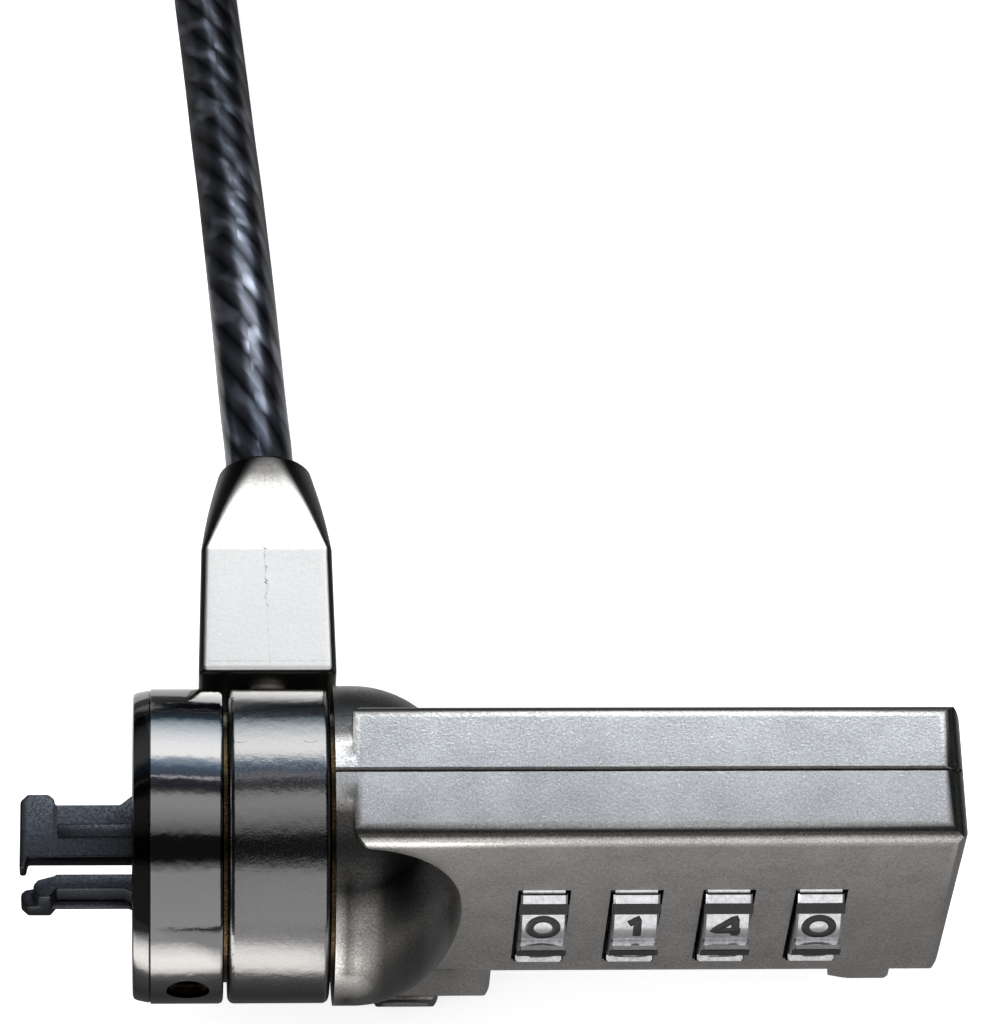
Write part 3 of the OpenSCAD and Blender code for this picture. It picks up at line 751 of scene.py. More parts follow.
@dataclass
class Studio:
    """Camera, floor, world and lamps.

    Attributes:
        eye: where the camera stands.
        target: the point at the middle of the view.
        lens_mm: the focal length on a 36 mm long side.
        floor_z: the height of the surface that the lock lies on.
        floor_side: the length of each side of the floor.
        floor_grey: the floor's own colour.
        floor_glow: how much light the camera sees it give off.
        floor_middle: the middle of the pools along X.
        pool_x: how far from it their light starts to fall, and ends falling.
        pool_light: their strength inside and outside.
        pool_y: the Y that the stops of the pools start and end at.
        nose_x: the X where the front pools give way to the others.
        floor_pools: what metal sees in the floor, from front to back.
        front_pools: what it sees there in front of the nose and the rings.
        sky: what metal sees round the X axis, from the -Y horizon over the top to the +Y one.
        sides: how bright that is, from the -X side to the +X side.
        even_light: the world's strength for what isn't gloss.
        lamps: each lamp's name, place, power and size.
    """

    eye: Point = (0.0025, -0.1928, 0.3672)
    target: Point = (0.0256, 0.0204, 0.0123)
    lens_mm: float = 203.9
    floor_z: float = -0.01652
    floor_side: float = 6.0
    floor_grey: float = 0.78
    floor_glow: float = 0.6
    floor_middle: float = 0.026
    pool_x: tuple[float, float] = (0.045, 0.1)
    pool_light: tuple[float, float] = (1.75, 0.14)
    pool_y: tuple[float, float] = (-0.12, 0.12)
    nose_x: tuple[float, float] = (0.014, 0.026)
    floor_pools: Stops = (
        (0.0, 0.7), (0.08, 0.9), (0.17, 1.6), (0.25, (2.05, 2.03, 1.98)), (0.31, (2.4, 2.37, 2.3)),
        (0.35, (2.25, 2.22, 2.15)), (0.37, (1.6, 1.58, 1.55)), (0.385, 0.3), (0.4, 0.14), (0.44, 0.05),
        (0.55, 0.05), (0.57, 0.45), (0.73, 0.45), (0.76, 0.07), (0.96, 0.07), (1.0, 0.3),
    )
    front_pools: Stops = (
        (0.0, 0.6), (0.08, 0.62), (0.33, 0.62), (0.355, 0.22), (0.395, 0.17), (0.42, 0.19), (0.44, 0.12),
        (0.465, 0.12), (0.6, 0.24), (1.0, 0.24),
    )
    sky: Stops = (
        (0.0, 0.68), (0.24, 0.6), (0.272, 0.16), (0.292, 0.012), (0.388, 0.012), (0.41, 0.27), (0.445, 0.44),
        (0.48, 0.56), (0.515, 0.65), (0.552, 0.65), (0.575, 0.12), (0.6, (0.035, 0.04, 0.05)),
        (0.628, (0.08, 0.09, 0.12)), (0.636, 1.3), (0.643, (0.12, 0.14, 0.18)), (0.68, (0.17, 0.25, 0.38)),
        (0.714, (0.6, 0.77, 0.93)), (0.74, (2.4, 2.42, 2.42)), (0.8, (2.25, 2.27, 2.32)),
        (0.85, (1.7, 1.83, 1.9)), (0.917, (0.72, 0.86, 0.97)), (0.948, (0.06, 0.1, 0.14)), (1.0, 0.03),
    )
    sides: Stops = (
        (0.0, 1.0), (0.035, 1.0), (0.07, 0.07), (0.36, 0.07), (0.46, 1.75), (0.7, 1.75), (0.75, 0.07),
        (0.93, 0.07), (0.965, 1.0), (1.0, 1.0),
    )
    even_light: float = 0.75
    lamps: tuple = (
        ("key", (-0.25, 0.35, 0.75), 5.0, 0.5),
        ("fill", (0.5, -0.6, 0.5), 2.0, 0.6),
    )

    def build(self) -> None:
        """Makes the whole studio."""
        self.make_camera()
        self.make_floor()
        self.make_world()
        self.make_lamps()
        bpy.context.scene.view_settings.view_transform = "Standard"

    def make_camera(self) -> None:
        """The camera, level with the head's own axis."""
        data = bpy.data.cameras.new("camera")
        data.lens = self.lens_mm
        data.clip_start, data.clip_end = 0.01, 10.0
        camera = add_object("camera", data)
        forward = (Vector(self.target) - Vector(self.eye)).normalized()
        up = Vector((1.0, 0.0, 0.0)).cross(forward).normalized()
        right = forward.cross(up).normalized()
        turn = Matrix((right, right.cross(forward), -forward)).transposed()
        camera.matrix_world = Matrix.Translation(self.eye) @ turn.to_4x4()
        bpy.context.scene.camera = camera

    def make_floor(self) -> None:
        """A wide pale floor, near white to the camera, that keeps the lock's shadow."""
        deselect()
        bpy.ops.mesh.primitive_plane_add(size=1.0, location=(0.03, 0.05, self.floor_z))
        floor = bpy.context.active_object
        floor.scale = (self.floor_side, self.floor_side, 1.0)
        settle(floor)
        floor.name = "floor"
        material = bpy.data.materials.new("floor_paper")
        material.use_nodes = True
        material.node_tree.nodes.clear()
        g = Graph(material.node_tree)
        paper = g.add("BsdfDiffuse", {"Color": rgba(self.floor_grey)}).outputs[0]
        glow = g.add("Emission", {"Color": rgba(1.0), "Strength": self.floor_glow}).outputs[0]
        both = g.add("AddShader", {0: paper, 1: glow}).outputs[0]
        self.by_ray(g, "OutputMaterial", paper, both, self.pools(g))
        floor.data.materials.append(material)

    def by_ray(self, g: Graph, output: str, plain: Socket, seen: Socket, gloss: Socket) -> None:
        """Ends a graph with a shader for each kind of ray.

        Args:
            g: the graph.
            output: the type of its output node.
            plain: what lights the lock.
            seen: what the camera sees, also through glass.
            gloss: what metal mirrors.
        """
        path = g.add("LightPath").outputs
        clear = g.math("MAXIMUM", path["Is Camera Ray"], path["Is Transmission Ray"])
        matt = g.add("MixShader", {0: path["Is Glossy Ray"], 1: plain, 2: gloss}).outputs[0]
        g.feed(g.add(output), Surface=g.add("MixShader", {0: clear, 1: matt, 2: seen}).outputs[0])

    def pools(self, g: Graph) -> Socket:
        """What metal sees in the floor: a lit pool in front, shade round the lock, and grey further off.

        Args:
            g: the floor material's graph.

        Returns:
            The shader's output socket.
        """
        place = g.axes("Object")
        depth = g.spread(place["Y"], *self.pool_y)
        nose = g.spread(place["X"], *self.nose_x, 1.0, 0.0)
        colours = g.mix(nose, g.ramp(depth, self.front_pools), g.ramp(depth, self.floor_pools))
        aside = g.math("ABSOLUTE", g.math("SUBTRACT", place["X"], self.floor_middle))
        strength = g.spread(aside, *self.pool_x, *self.pool_light)
        return g.add("Emission", {"Color": colours, "Strength": strength}).outputs[0]

    def make_world(self) -> None:
        """White to the camera, a soft studio of panels to gloss, and an even pale light to the rest."""
        world = bpy.data.worlds.new("studio")
        bpy.context.scene.world = world
        world.use_nodes = True
        world.node_tree.nodes.clear()
        g = Graph(world.node_tree)
        way = g.axes("Generated")
        angle = g.math("ARCTAN2", way["Z"], g.math("MULTIPLY", way["Y"], -1.0))
        panels = g.ramp(g.math("DIVIDE", angle, math.pi, clamp=True), self.sky)
        aside = g.ramp(g.math("MULTIPLY_ADD", way["X"], 0.5, 0.5), self.sides)
        plain, white, gloss = (
            g.add("Background", {"Color": colour, "Strength": strength}).outputs[0]
            for colour, strength in ((rgba(1.0), self.even_light), (rgba(1.0), 1.0), (panels, aside))
        )
        self.by_ray(g, "OutputWorld", plain, white, gloss)

    def make_lamps(self) -> None:
        """One soft key from the upper left and behind, and one weak fill from the front."""
        for name, place, power, size in self.lamps:
            data = bpy.data.lights.new(name, "AREA")
            data.energy, data.size = power, size
            lamp = add_object(name, data)
            lamp.visible_glossy = False
            lamp.location = place
            lamp.rotation_euler = (Vector((0.03, 0.0, 0.0)) - Vector(place)).to_track_quat("-Z", "Y").to_euler()


# ---- Cable ----


def curve_through(points: Sequence[Point], steps: int) -> list[Vector]:
    """A smooth line through points.

    Args:
        points: the points that it passes.
        steps: how many pieces each span is cut into.

    Returns:
        The line's points.
    """
    p = [Vector(q) for q in (points[0], *points, points[-1])]
    line = []
    for a, b, c, d in zip(p, p[1:], p[2:], p[3:]):
        for t in (k / steps for k in range(steps)):
            square, cube = (2 * a - 5 * b + 4 * c - d) * t * t, (3 * b - a - 3 * c + d) * t ** 3
            line.append(0.5 * (2 * b + (c - a) * t + square + cube))
    return line + [p[-1]]


@dataclass
class Cable:
    """The steel cable from the ferrule, through its coil, to the eye at its far end. Sizes in millimetres.

    Attributes:
        diameter: over the vinyl.
        sides: how many sides its tube has.
        stud_x: the ferrule's axis along the head.
        ferrule_end: the mouth of the ferrule; not used.
        drop: the height of the cable's centre where it lies on the floor.
        coil_radius: the widest turn, at its centre line.
        coil_y: the coil's middle.
        turns: how many turns it has.
        layer_turns: how many turns a layer has.
        turn_gap: the space between the turns of a layer.
        layer_gap: the space between layers.
        drift: how much wider the last turn grows in a whole turn.
        sleeve_len: length of the crimp sleeve.
        sleeve_thick: its height.
        sleeve_in: how far past the coil's middle its far end is.
        sleeve_lift: the space between it and the coil.
        leg_gap: the space between the eye's leg and the sleeve's middle, past the cable's radius.
        tail_r: radius of the bend from the coil into the sleeve.
        run: the way from the ferrule to the coil: X off the ferrule's axis, Y, and the share of the drop.
        eye: one side of the eye: how far from the sleeve, and how far off its middle.
    """

    diameter: float = 5.0
    sides: int = 20
    stud_x: float = 9.65
    ferrule_end: float = 30.7
    drop: float = -14.0
    coil_radius: float = 34.0
    coil_y: float = 127.0
    turns: float = 10.5
    layer_turns: float = 2.5
    turn_gap: float = 0.5
    layer_gap: float = 0.45
    drift: float = 4.0
    sleeve_len: float = 12.0
    sleeve_thick: float = 6.8
    sleeve_in: float = 14.0
    sleeve_lift: float = 0.3
    leg_gap: float = 0.35
    tail_r: float = 15.0
    run: tuple = (
        (-0.4, 24.8, 0), (-0.4, 30.7, 0), (-0.42, 32.7, 0), (-0.8, 37, 0.01), (-1.15, 42, 0.05),
        (-1.55, 48, 0.13), (-1.95, 54, 0.25), (-2.35, 60, 0.39), (-2.8, 66, 0.54), (-3.2, 72, 0.69),
        (-3.65, 78, 0.82), (-4.15, 84, 0.92), (-4.6, 90, 0.98), (-5, 96, 1), (-5.4, 105, 1), (-5.5, 115, 1),
        (-5.5, 121, 1), (-5.5, 127, 1),
    )
    eye: tuple = (
        (1, 2.85), (4.7, 2.85), (9, 4.6), (14, 8.2), (19, 11.8), (24, 13.8), (28, 13.8), (32, 11.8), (35.4, 8),
        (37.2, 3),
    )

    def __post_init__(self) -> None:
        """Works out the places that follow from the sizes."""
        self.centre_x = self.stud_x + self.run[-1][0] + self.coil_radius
        self.leg = self.diameter / 2 + self.leg_gap
        self.layer = self.diameter + self.layer_gap
        self.top = self.drop + 3 * self.layer + self.diameter / 2 + self.sleeve_thick / 2 + self.sleeve_lift
        self.sleeve_x = self.centre_x + self.sleeve_in
        self.sleeve_y = self.coil_y - self.tail_r - self.leg

    def coil_point(self, u: float) -> Point:
        """A point of the coil.

        Args:
            u: how many turns it is from the coil's start.

        Returns:
            The point, in millimetres.
        """
        wind = self.layer_turns
        full = 4 * wind
        inward = (self.diameter + self.turn_gap) * (wind - abs(u % (2 * wind) - wind))
        r = self.coil_radius + (self.drift * (u - full) if u > full else -inward)
        ease = [max(0.0, min(1.0, 2 * (u - at) + 0.5)) for at in (wind, 2 * wind, 3 * wind, full + 0.15)]
        rise = [t * t * (3 - 2 * t) for t in ease]
        z = self.drop + self.layer * sum(rise[:3]) + (self.top - self.drop - 3 * self.layer) * rise[3]
        turn = math.pi - 2 * math.pi * u
        return (self.centre_x + r * math.cos(turn), self.coil_y + r * math.sin(turn), z)

    def centreline(self) -> list[Vector]:
        """The whole route, in metres."""
        run = curve_through([(self.stud_x + x, y, self.drop * f) for x, y, f in self.run], 4)
        per_turn = 40
        coil = [Vector(self.coil_point(k / per_turn)) for k in range(1, int(self.turns * per_turn) + 1)]
        bend_x, r = coil[-1].x - self.tail_r, self.tail_r
        angles = [math.radians(a) for a in range(10, 91, 10)]
        bend = [Vector((bend_x + r * math.cos(a), self.coil_y - r * math.sin(a), self.top)) for a in angles]
        front = self.sleeve_x - self.sleeve_len
        legs = [(front - a, b) for a, b in self.eye] + [(front - a, -b) for a, b in reversed(self.eye)]
        eye = [(self.sleeve_x, self.leg), *legs, (self.sleeve_x - 2.2, -self.leg)]
        loop = curve_through([(x, self.sleeve_y + y, self.top) for x, y in eye], 4)
        return [p * MM for p in run + coil + bend + loop]

    def tube(self, line: Sequence[Vector]) -> Piece:
        """The cable's tube, with its length and its way round in the UV map "lay".

        Args:
            line: the centre line, in metres.

        Returns:
            The object.
        """
        radius, sides = self.diameter / 2 * MM, self.sides
        points, walked = [], [0.0]
        for k, centre in enumerate(line):
            if k:
                walked.append(walked[-1] + (centre - line[k - 1]).length)
            ahead = (line[min(k + 1, len(line) - 1)] - line[max(k - 1, 0)]).normalized()
            side = ahead.cross(Vector((0.0, 0.0, 1.0))).normalized()
            lift = side.cross(ahead)
            for turn in (2 * math.pi * j / sides for j in range(sides)):
                points.append(centre + radius * (math.cos(turn) * lift + math.sin(turn) * side))
        piece = shell("cable", points, sides)
        corners = []
        for a, b in zip(walked, walked[1:]):
            for p, q in ((j / sides, (j + 1) / sides) for j in range(sides)):
                corners += [(a, p), (a, q), (b, q), (b, p)]
        corners += [(0.0, 0.0)] * sides * 2
        layer = piece.data.uv_layers.new(name="lay")
        for corner, uv in zip(layer.data, corners):
            corner.uv = uv
        return smooth(piece, 40.0)

    def build(self, finishes: FinishLibrary) -> None:
        """Makes the cable and its crimp sleeve.

        Args:
            finishes: the finishes to take from.
        """
        line = self.centreline()
        nodes = ["cable_run", "cable_coil", "end_loop"]
        tube = finish_piece(self.tube(line), "cable", Body.SWIVEL, finishes["vinyl"], nodes)
        sleeve = smooth(copy_of_node("loop_sleeve"))
        finish_piece(sleeve, "crimp_sleeve", Body.SWIVEL, finishes["sleeve"], ["loop_sleeve"])


# ---- Sub-assemblies ----


@dataclass
class Skins:
    """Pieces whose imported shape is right, dressed as smooth copies.

    Attributes:
        sharp: the largest angle between faces, in degrees, that is shaded smooth.
    """

    sharp: float = 32.0

    def build(self, finishes: FinishLibrary) -> None:
        """Dresses each of them.

        Args:
            finishes: the finishes to take from.
        """
        pins = ["hook_pivot_pin", "hook_anchor_pin_a", "hook_anchor_pin_b"]
        pins += ["locating_pin_a", "locating_pin_b", "locating_pin_c"]
        inside = ["slide_carrier", "lock_spindle", "spring_collar", "hook_driver"]
        plan = [
            (Body.HOUSING, finishes["pewter"], "body_metal", ["front_housing", "rear_housing"]),
            (Body.HOUSING, finishes["ring"], "ring_metal", ["nose_ring"]),
            (Body.SWIVEL, finishes["swivel"], "ring_metal", ["swivel_ring"]),
            (Body.HOUSING, finishes["barrel"], "barrel_metal", ["core_barrel"]),
            # painted shade: the washers and the set screw take the darkened brass
            (Body.HOUSING, finishes["brass"], "brass", ["front_washer", "rear_washer", "nose_set_screw"]),
            (Body.HOUSING, finishes["steel"], "pin_steel", pins),
            (Body.RELEASE, finishes["pewter"], "slide_metal", ["release_slide"]),
            (Body.RELEASE, finishes["steel"], "pin_steel", inside),
            (Body.HOUSING, finishes["spring"], "spring_steel", ["release_spring", "detent_spring"]),
            (Body.RESET, finishes["steel"], "pin_steel", ["reset_screw"]),
        ]
        for n in range(1, 5):
            body = Body[f"DIAL_{n}"]
            plan.append((body, finishes["dial"], "dial_metal", [f"dial_{n}"]))
            plan.append((body, finishes["steel"], "hub_metal", [f"dial_hub_{n}"]))
        for body, finish, slot, nodes in plan:
            for node in nodes:
                finish_piece(smooth(copy_of_node(node), self.sharp), node + "_skin", body, finish, [node])


@dataclass
class Hooks:
    """The two blackened hooks in front of the nose ring. Sizes in millimetres.

    Attributes:
        ease: rounding of their edges.
        rib_x: where the raised rib of the fixed hook starts and ends.
        rib_y: its two sides.
        rib_top: the height of its top face.
        rib_deep: how far it reaches down into the arm.
        rib_round: rounding of its edges.
        arm_edge: the arm's lower edge: its Y, and the height of its top face.
        shade_strip_low: the lowest corner of the black block of painted shade in the step behind the fixed
            hook's head.
        shade_strip_high: its highest corner.
        bar: (start, end) along the head, Y, Z and radius of the moving hook's outer lip.
        bar_round: rounding of its ends.
    """

    ease: float = 0.16
    rib_x: tuple[float, float] = (-5.3, 0.4)
    rib_y: tuple[float, float] = (-0.05, 0.95)
    rib_top: float = 1.62
    rib_deep: float = 0.4
    rib_round: float = 0.07
    arm_edge: tuple[float, float] = (-1.5, 1.5)
    shade_strip_low: Point = (-5.66, -1.55, 1.25)
    shade_strip_high: Point = (-5.36, 2.45, 1.55)
    bar: tuple[float, float, float, float, float] = (-7.55, -0.1, -4.28, -0.62, 0.36)
    bar_round: float = 0.1

    def rib(self) -> Piece:
        """The low raised rib along the fixed hook's arm."""
        (x0, x1), (y0, y1) = self.rib_x, self.rib_y
        return rounded(block((x0, y0, self.rib_top - self.rib_deep), (x1, y1, self.rib_top)), self.rib_round)

    def lip(self) -> Piece:
        """The rounded lip along the moving hook's outer side."""
        deselect()
        x0, x1, y, z, radius = self.bar
        bpy.ops.mesh.primitive_cylinder_add(
            vertices=32, radius=radius * MM, depth=(x1 - x0) * MM, rotation=(0.0, math.pi / 2, 0.0),
            location=((x0 + x1) / 2 * MM, y * MM, z * MM),
        )
        return rounded(settle(bpy.context.active_object), self.bar_round)

    def rubbed_and_highlit_lines(self) -> Piece:
        """Lighter lines along the rib, the step beside it and the arm's lower edge: partly edge wear and partly
        painted highlight.
        """
        (x0, x1), (y0, y1), top, (low_y, arm) = self.rib_x, self.rib_y, self.rib_top, self.arm_edge
        rows = (
            ((x0, y0, top), (x1, y0, top)), ((x0, y1, top), (x1 - 1.0, y1, top)),
            ((x0, y0, top), (x0, y1, top)), ((x0, low_y, arm), (x0, y0, arm)),
            ((x0, low_y, arm), (-0.2, low_y, arm)),
        )
        lines = [HairLine(0.035, 0.012, 0.02, 20 + n) for n in range(len(rows))]
        return joined([line.straight(a, b, 0.12) for line, (a, b) in zip(lines, rows)])

    def build(self, finishes: FinishLibrary) -> None:
        """Makes both hooks.

        Args:
            finishes: the finishes to take from.
        """
        fixed = joined([eased_copy("fixed_hook", self.ease), self.rib()])
        # painted shade: a black block in the step behind the head
        step = block(self.shade_strip_low, self.shade_strip_high)
        rubbed_highlit = self.rubbed_and_highlit_lines()
        moving = joined([eased_copy("moving_hook", self.ease), self.lip()])
        for piece, name, body, finish, nodes in (
            (fixed, "fixed_hook_eased", Body.HOUSING, finishes["blackened"], ["fixed_hook"]),
            (step, "fixed_hook_painted_shade", Body.HOUSING, finishes["print_and_shade_black"], []),
            (rubbed_highlit, "fixed_hook_rubbed_highlit", Body.HOUSING, finishes["rubbed_and_highlit"], []),
            (moving, "moving_hook_eased", Body.HOOK, finishes["blackened"], ["moving_hook"]),
        ):
            finish_piece(piece, name, body, finish, nodes)


@dataclass
class Ferrule:
    """The cast ferrule that grips the cable and turns with the swivel ring. Sizes in millimetres.

    Attributes:
        axis_x: its axis along the head.
        stud_y: the inner end of its stud.
        stud_r: radius of the stud.
        neck_y: where the wider neck starts.
        neck_r: radius of the neck.
        foot_y: the face by the ring.
        shoulder_y: where the taper starts.
        tip_y: the thin end.
        foot_half: half of its width at the foot.
        half: half of its width at the shoulder.
        half_high: half of its height.
        corner: radius of its long corners.
        edge: rounding of the foot's edge.
        swell: how much the taper bulges.
        tip_r: radius of the thin end.
        tip_round: rounding of its edge.
        bore_x: the bore's axis, off the ferrule's own.
        bore_r: radius of the bore.
        bore_deep: how deep the bore is.
    """

    axis_x: float = 9.65
    stud_y: float = 8.8
    stud_r: float = 2.58
    neck_y: float = 11.3
    neck_r: float = 2.95
    foot_y: float = 11.6
    shoulder_y: float = 22.0
    tip_y: float = 30.7
    foot_half: float = 4.95
    half: float = 4.75
    half_high: float = 4.7
    corner: float = 0.6
    edge: float = 0.28
    swell: float = 0.12
    tip_r: float = 3.5
    tip_round: float = 0.35
    bore_x: float = -0.4
    bore_r: float = 2.56
    bore_deep: float = 5.9

    def sections(self) -> list[tuple[float, ...]]:
        """Each cross-section: place along the axis, half width, half height, corner radius and side shift."""
        round_off = [math.radians(a) for a in (0, 30, 60, 90)]
        neck = ((self.stud_y, self.stud_r), (self.neck_y, self.stud_r), (self.neck_y, self.neck_r))
        rows = [(y, r, r, r, 0.0) for y, r in (*neck, (self.foot_y, self.neck_r))]
        for a in round_off:
            inset, y = self.edge * (1 - math.sin(a)), self.foot_y + self.edge * (1 - math.cos(a))
            rows.append((y, self.foot_half - inset, self.half_high - inset, self.corner, 0.0))
        rows.append((self.foot_y + 0.6, self.foot_half, self.half_high, self.corner, 0.0))
        rows.append((self.shoulder_y - 0.25, self.half, self.half_high, self.corner, 0.0))
        steps = 12
        for t in (k / steps for k in range(steps + 1)):
            y = self.shoulder_y + (self.tip_y - self.tip_round - self.shoulder_y) * t
            w, h, c = (size + (self.tip_r - size) * t for size in (self.half, self.half_high, self.corner))
            rows.append((y, w + self.swell * math.sin(math.pi * t), h, c, 0.0))
        for a in round_off[1:]:
            r = self.tip_r - self.tip_round * (1 - math.cos(a))
            rows.append((self.tip_y - self.tip_round * (1 - math.sin(a)), r, r, r, 0.0))
        r = self.bore_r
        return rows + [(y, r, r, r, self.bore_x) for y in (self.tip_y, self.tip_y - self.bore_deep)]

    def ring(self, y: float, w: float, h: float, c: float, shift: float) -> list[Vector]:
        """The points of one cross-section, in order round it.

        Args:
            y: its place along the axis.
            w: half width.
            h: half height.
            c: corner radius.
            shift: how far its middle is to the side.

        Returns:
            The points, in metres.
        """
        steps, near = 10, 0.04
        c = min(c, w, h)
        corners = []
        for quarter, (sx, sz) in enumerate(((1, 1), (-1, 1), (-1, -1), (1, -1))):
            turns = [math.radians(90 * quarter + 90 * k / steps) for k in range(steps + 1)]
            corners.append([(sx * (w - c) + c * math.cos(a), sz * (h - c) + c * math.sin(a)) for a in turns])
        points = []
        for this, following in zip(corners, corners[1:] + corners[:1]):
            (x0, z0), (x1, z1) = this[-1], following[0]
            points += this + [(x0 + (x1 - x0) * t, z0 + (z1 - z0) * t) for t in (near, 1 - near)]
        return [Vector(((self.axis_x + shift + x) * MM, y * MM, z * MM)) for x, z in points]

    def seam(self) -> Piece:
        """The ragged parting seam along the top: calm at the foot, then rough, and fine on the taper."""
        x, top, foot, shoulder = self.axis_x, self.half_high, self.foot_y + 0.3, self.shoulder_y
        end = (x - 0.05, self.tip_y - self.tip_round, self.tip_r)
        return joined([
            HairLine(0.05, 0.02, 0.015, 3).straight((x + 0.16, foot, top), (x + 0.02, 17.0, top), 0.2),
            HairLine(0.085, 0.04, 0.13, 8).straight((x - 0.02, 16.8, top), (x - 0.12, shoulder, top), 0.14),
            HairLine(0.04, 0.02, 0.012, 5).straight((x - 0.1, shoulder, top), end, 0.2, (0.0, 0.14, 1.0)),
        ])

    def build(self, finishes: FinishLibrary) -> None:
        """Makes the ferrule, its seam and a scored line across it.

        Args:
            finishes: the finishes to take from.
        """
        rings = [self.ring(*row) for row in self.sections()]
        cast = outward(shell("ferrule", [p for ring in rings for p in ring], len(rings[0])), MERGE)
        cast, nodes = smooth(cast, 35.0), ["cable_ferrule"]
        finish_piece(cast, "ferrule_cast", Body.SWIVEL, finishes["nickel"], nodes)
        finish_piece(self.seam(), "ferrule_seam", Body.SWIVEL, finishes["score"])
        x, y, z = self.axis_x, self.foot_y + 0.9, self.half_high
        line = HairLine(0.03, 0.012, 0.01, 4).straight((x - 4.3, y, z), (x + 4.2, y, z), 0.3)
        finish_piece(line, "ferrule_score", Body.SWIVEL, finishes["score"])


@dataclass
class CastingMarks:
    """Flash on the parting line and two nicks on the swivel ring. Sizes in millimetres.

    Attributes:
        seam_x: where the parting line starts and ends on the bar's top.
        seam_z: the height of the bottom of its bevels.
        ring_r: radius of the swivel ring.
        nicks_x: start and end of each nick along the head.
        nick_turn: how far they are turned up from -Y, in degrees.
        nick_sag: how far the middle of each is turned back, in degrees.
    """

    seam_x: tuple[float, float] = (15.4, 58.1)
    seam_z: float = 11.2
    ring_r: float = 11.2
    nicks_x: tuple = ((7.0, 8.1), (12.0, 13.0))
    nick_turn: float = 103.3
    nick_sag: float = 0.8

    def nick(self, x0: float, x1: float, seed: int) -> Piece:
        """One nick.

        Args:
            x0: where it starts along the head.
            x1: where it ends.
            seed: seeds its raggedness.

        Returns:
            The object.
        """
        turn = math.radians(self.nick_turn)
        out = (0, -math.cos(turn), math.sin(turn))
        path = []
        for x, _, _ in between((x0, 0, 0), (x1, 0, 0), 0.12):
            a = turn - math.radians(self.nick_sag * math.sin(math.pi * (x - x0) / (x1 - x0)))
            path.append((x, -self.ring_r * math.cos(a), self.ring_r * math.sin(a), *out))
        return HairLine(0.05, 0.015, 0.01, seed).follow(path)

    def build(self, finishes: FinishLibrary) -> None:
        """Makes the marks.

        Args:
            finishes: the finishes to take from.
        """
        start, end = ((x, 0, self.seam_z) for x in self.seam_x)
        flash = HairLine(0.075, 0.07, 0.03, 11).straight(start, end, 0.16)
        finish_piece(flash, "parting_flash", Body.HOUSING, finishes["flash"])
        nicks = joined([self.nick(x0, x1, 20 + k) for k, (x0, x1) in enumerate(self.nicks_x)])
        finish_piece(nicks, "swivel_ring_nicks", Body.SWIVEL, finishes["score"])


# The stroke of each digit on a grid 1 wide and 1 high, centred on 0, 0; 0 is a closed ring
DIGITS: dict[int, Sequence[tuple[float, float]]] = {
    0: [(0.5 * math.cos(math.radians(a)), 0.5 * math.sin(math.radians(a))) for a in range(0, 360, 15)],
    1: [(-0.24, 0.22), (-0.02, 0.36), (0.08, 0.5), (0.08, -0.5)],
    2: [(-0.42, 0.22), (-0.3, 0.42), (0.0, 0.5), (0.3, 0.42), (0.4, 0.2), (0.3, 0.0), (-0.44, -0.5),
        (0.46, -0.5)],
    3: [(-0.4, 0.36), (-0.15, 0.5), (0.2, 0.48), (0.38, 0.28), (0.24, 0.08), (-0.05, 0.04), (0.28, -0.02),
        (0.44, -0.24), (0.26, -0.46), (-0.1, -0.5), (-0.42, -0.36)],
    4: [(0.3, -0.5), (0.3, 0.5), (-0.5, -0.2), (0.5, -0.2)],
    5: [(0.4, 0.5), (-0.34, 0.5), (-0.38, 0.04), (0.0, 0.12), (0.34, 0.0), (0.42, -0.22), (0.26, -0.44),
        (-0.06, -0.5), (-0.42, -0.38)],
    6: [(0.34, 0.46), (0.0, 0.44), (-0.32, 0.16), (-0.42, -0.2), (-0.24, -0.46), (0.06, -0.5), (0.36, -0.38),
        (0.42, -0.16), (0.24, 0.04), (-0.08, 0.06), (-0.4, -0.14)],
    7: [(-0.44, 0.5), (0.44, 0.5), (0.06, -0.04), (-0.08, -0.5)],
    8: [(0.0, 0.04), (-0.3, 0.18), (-0.34, 0.36), (-0.12, 0.5), (0.12, 0.5), (0.34, 0.36), (0.3, 0.18),
        (0.0, 0.04), (-0.38, -0.12), (-0.42, -0.34), (-0.16, -0.5), (0.16, -0.5), (0.42, -0.34), (0.38, -0.12),
        (0.0, 0.04)],
}
DIGITS[9] = [(-a, -b) for a, b in DIGITS[6]]


def finer(stroke: Sequence[tuple[float, float]], step: float) -> list[tuple[float, float]]:
    """A stroke with points about a step apart.

    Args:
        stroke: its corner points.
        step: the step between the new points.

    Returns:
        The points.
    """
    line = [stroke[0]]
    for (a, b), (c, d) in zip(stroke, stroke[1:]):
        count = max(1, round(math.hypot(c - a, d - b) / step))
        line += [(a + (c - a) * k / count, b + (d - b) * k / count) for k in range(1, count + 1)]
    return line


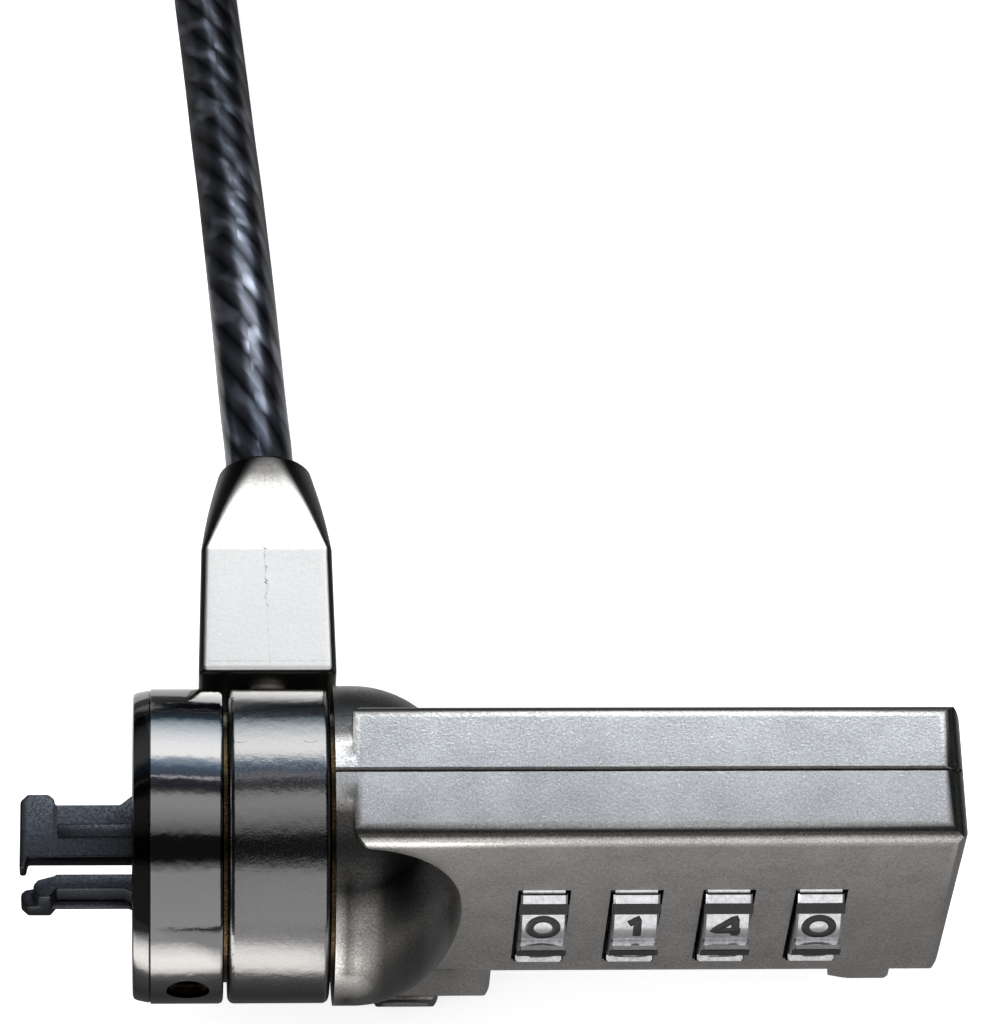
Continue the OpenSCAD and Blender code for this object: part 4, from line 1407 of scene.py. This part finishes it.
@dataclass
class DialNumbers:
    """The black numbers on the pads of each dial, and a black strip on each of its ribs. Sizes in millimetres.

    Attributes:
        shown: the number that faces the reader on each dial.
        first_x: the first dial's middle along the head.
        pitch: from one dial to the next.
        axis_z: the height of the dials' axis.
        pad_distance: from the axis to the flat of a pad.
        pad_turn: how far the shown pad is turned up from -Y, in degrees.
        pads: how many pads a dial has.
        width: of a number's centre line.
        height: of a number's centre line.
        stroke: half of a stroke's width.
        point_step: the step between a stroke's points, as a share of its size.
        relief: how much of a round stroke stands proud of the pad.
        rib_r: from the axis to the black strip on a rib.
        rib_turn: from a pad to the black strip after it, in degrees.
        groove_size: along the head, thick and wide.
    """

    shown: tuple[int, int, int, int] = (0, 1, 4, 0)
    first_x: float = 29.05
    pitch: float = 6.55
    axis_z: float = -1.9
    pad_distance: float = 7.15
    pad_turn: float = 17.9
    pads: int = 10
    width: float = 1.92
    height: float = 1.72
    stroke: float = 0.3
    point_step: float = 0.08
    relief: float = 0.14
    rib_r: float = 7.5
    rib_turn: float = 15.1
    groove_size: Point = (3.5, 0.05, 0.84)

    def number(self, digit: int, x: float, turn: float) -> Piece:
        """One number, flat on its pad.

        Args:
            digit: which one.
            x: its place along the head.
            turn: the pad's angle up from -Y, in degrees.

        Returns:
            The object.
        """
        curve = bpy.data.curves.new("number", "CURVE")
        curve.dimensions = "3D"
        curve.bevel_depth = self.stroke * MM
        curve.bevel_resolution = 2
        curve.use_fill_caps = True
        closed = digit == 0
        points = DIGITS[digit] if closed else finer(DIGITS[digit], self.point_step)
        spline = curve.splines.new("POLY")
        spline.points.add(len(points) - 1)
        spline.use_cyclic_u = closed
        for spot, (a, b) in zip(spline.points, points):
            spot.co = (a * self.width * MM, b * self.height * MM, 0.0, 1.0)
        make_active(add_object("number", curve))
        bpy.ops.object.convert(target="MESH")
        piece = bpy.context.active_object
        for vert in piece.data.vertices:
            across, up, proud = vert.co
            out = self.pad_distance * MM + self.relief * proud
            angle = math.radians(turn) + up / out
            vert.co = (x * MM + across, -out * math.cos(angle), self.axis_z * MM + out * math.sin(angle))
        return outward(piece)

    def groove(self, x: float, turn: float) -> Piece:
        """The black strip on one rib.

        Args:
            x: its place along the head.
            turn: its angle up from -Y, in degrees.

        Returns:
            The object.
        """
        deselect()
        angle = math.radians(turn)
        place = (x, -self.rib_r * math.cos(angle), self.axis_z + self.rib_r * math.sin(angle))
        bpy.ops.mesh.primitive_cube_add(size=MM, location=[c * MM for c in place], rotation=(-angle, 0.0, 0.0))
        piece = bpy.context.active_object
        piece.scale = self.groove_size
        return settle(piece)

    def build(self, finishes: FinishLibrary) -> None:
        """Makes all numbers and black strips of all dials.

        Args:
            finishes: the finishes to take from.
        """
        turns = [self.pad_turn + 360.0 / self.pads * k for k in range(self.pads)]
        for n, shown in enumerate(self.shown, 1):
            x = self.first_x + (n - 1) * self.pitch
            parts = [self.number((shown + k) % 10, x, turn) for k, turn in enumerate(turns)]
            parts += [self.groove(x, turn + self.rib_turn) for turn in turns]
            numbers = smooth(joined(parts), 50.0)
            finish_piece(numbers, f"dial_{n}_numbers", Body[f"DIAL_{n}"], finishes["print_and_shade_black"])


def main() -> None:
    """Builds the studio and the lock."""
    logging.basicConfig(level=logging.INFO, format="%(name)s: %(message)s")
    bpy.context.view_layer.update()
    finishes = FinishLibrary()
    Studio().build()
    for assembly in (Cable(), Skins(), Hooks(), Ferrule(), CastingMarks(), DialNumbers()):
        assembly.build(finishes)


if __name__ == "__main__":
    main()
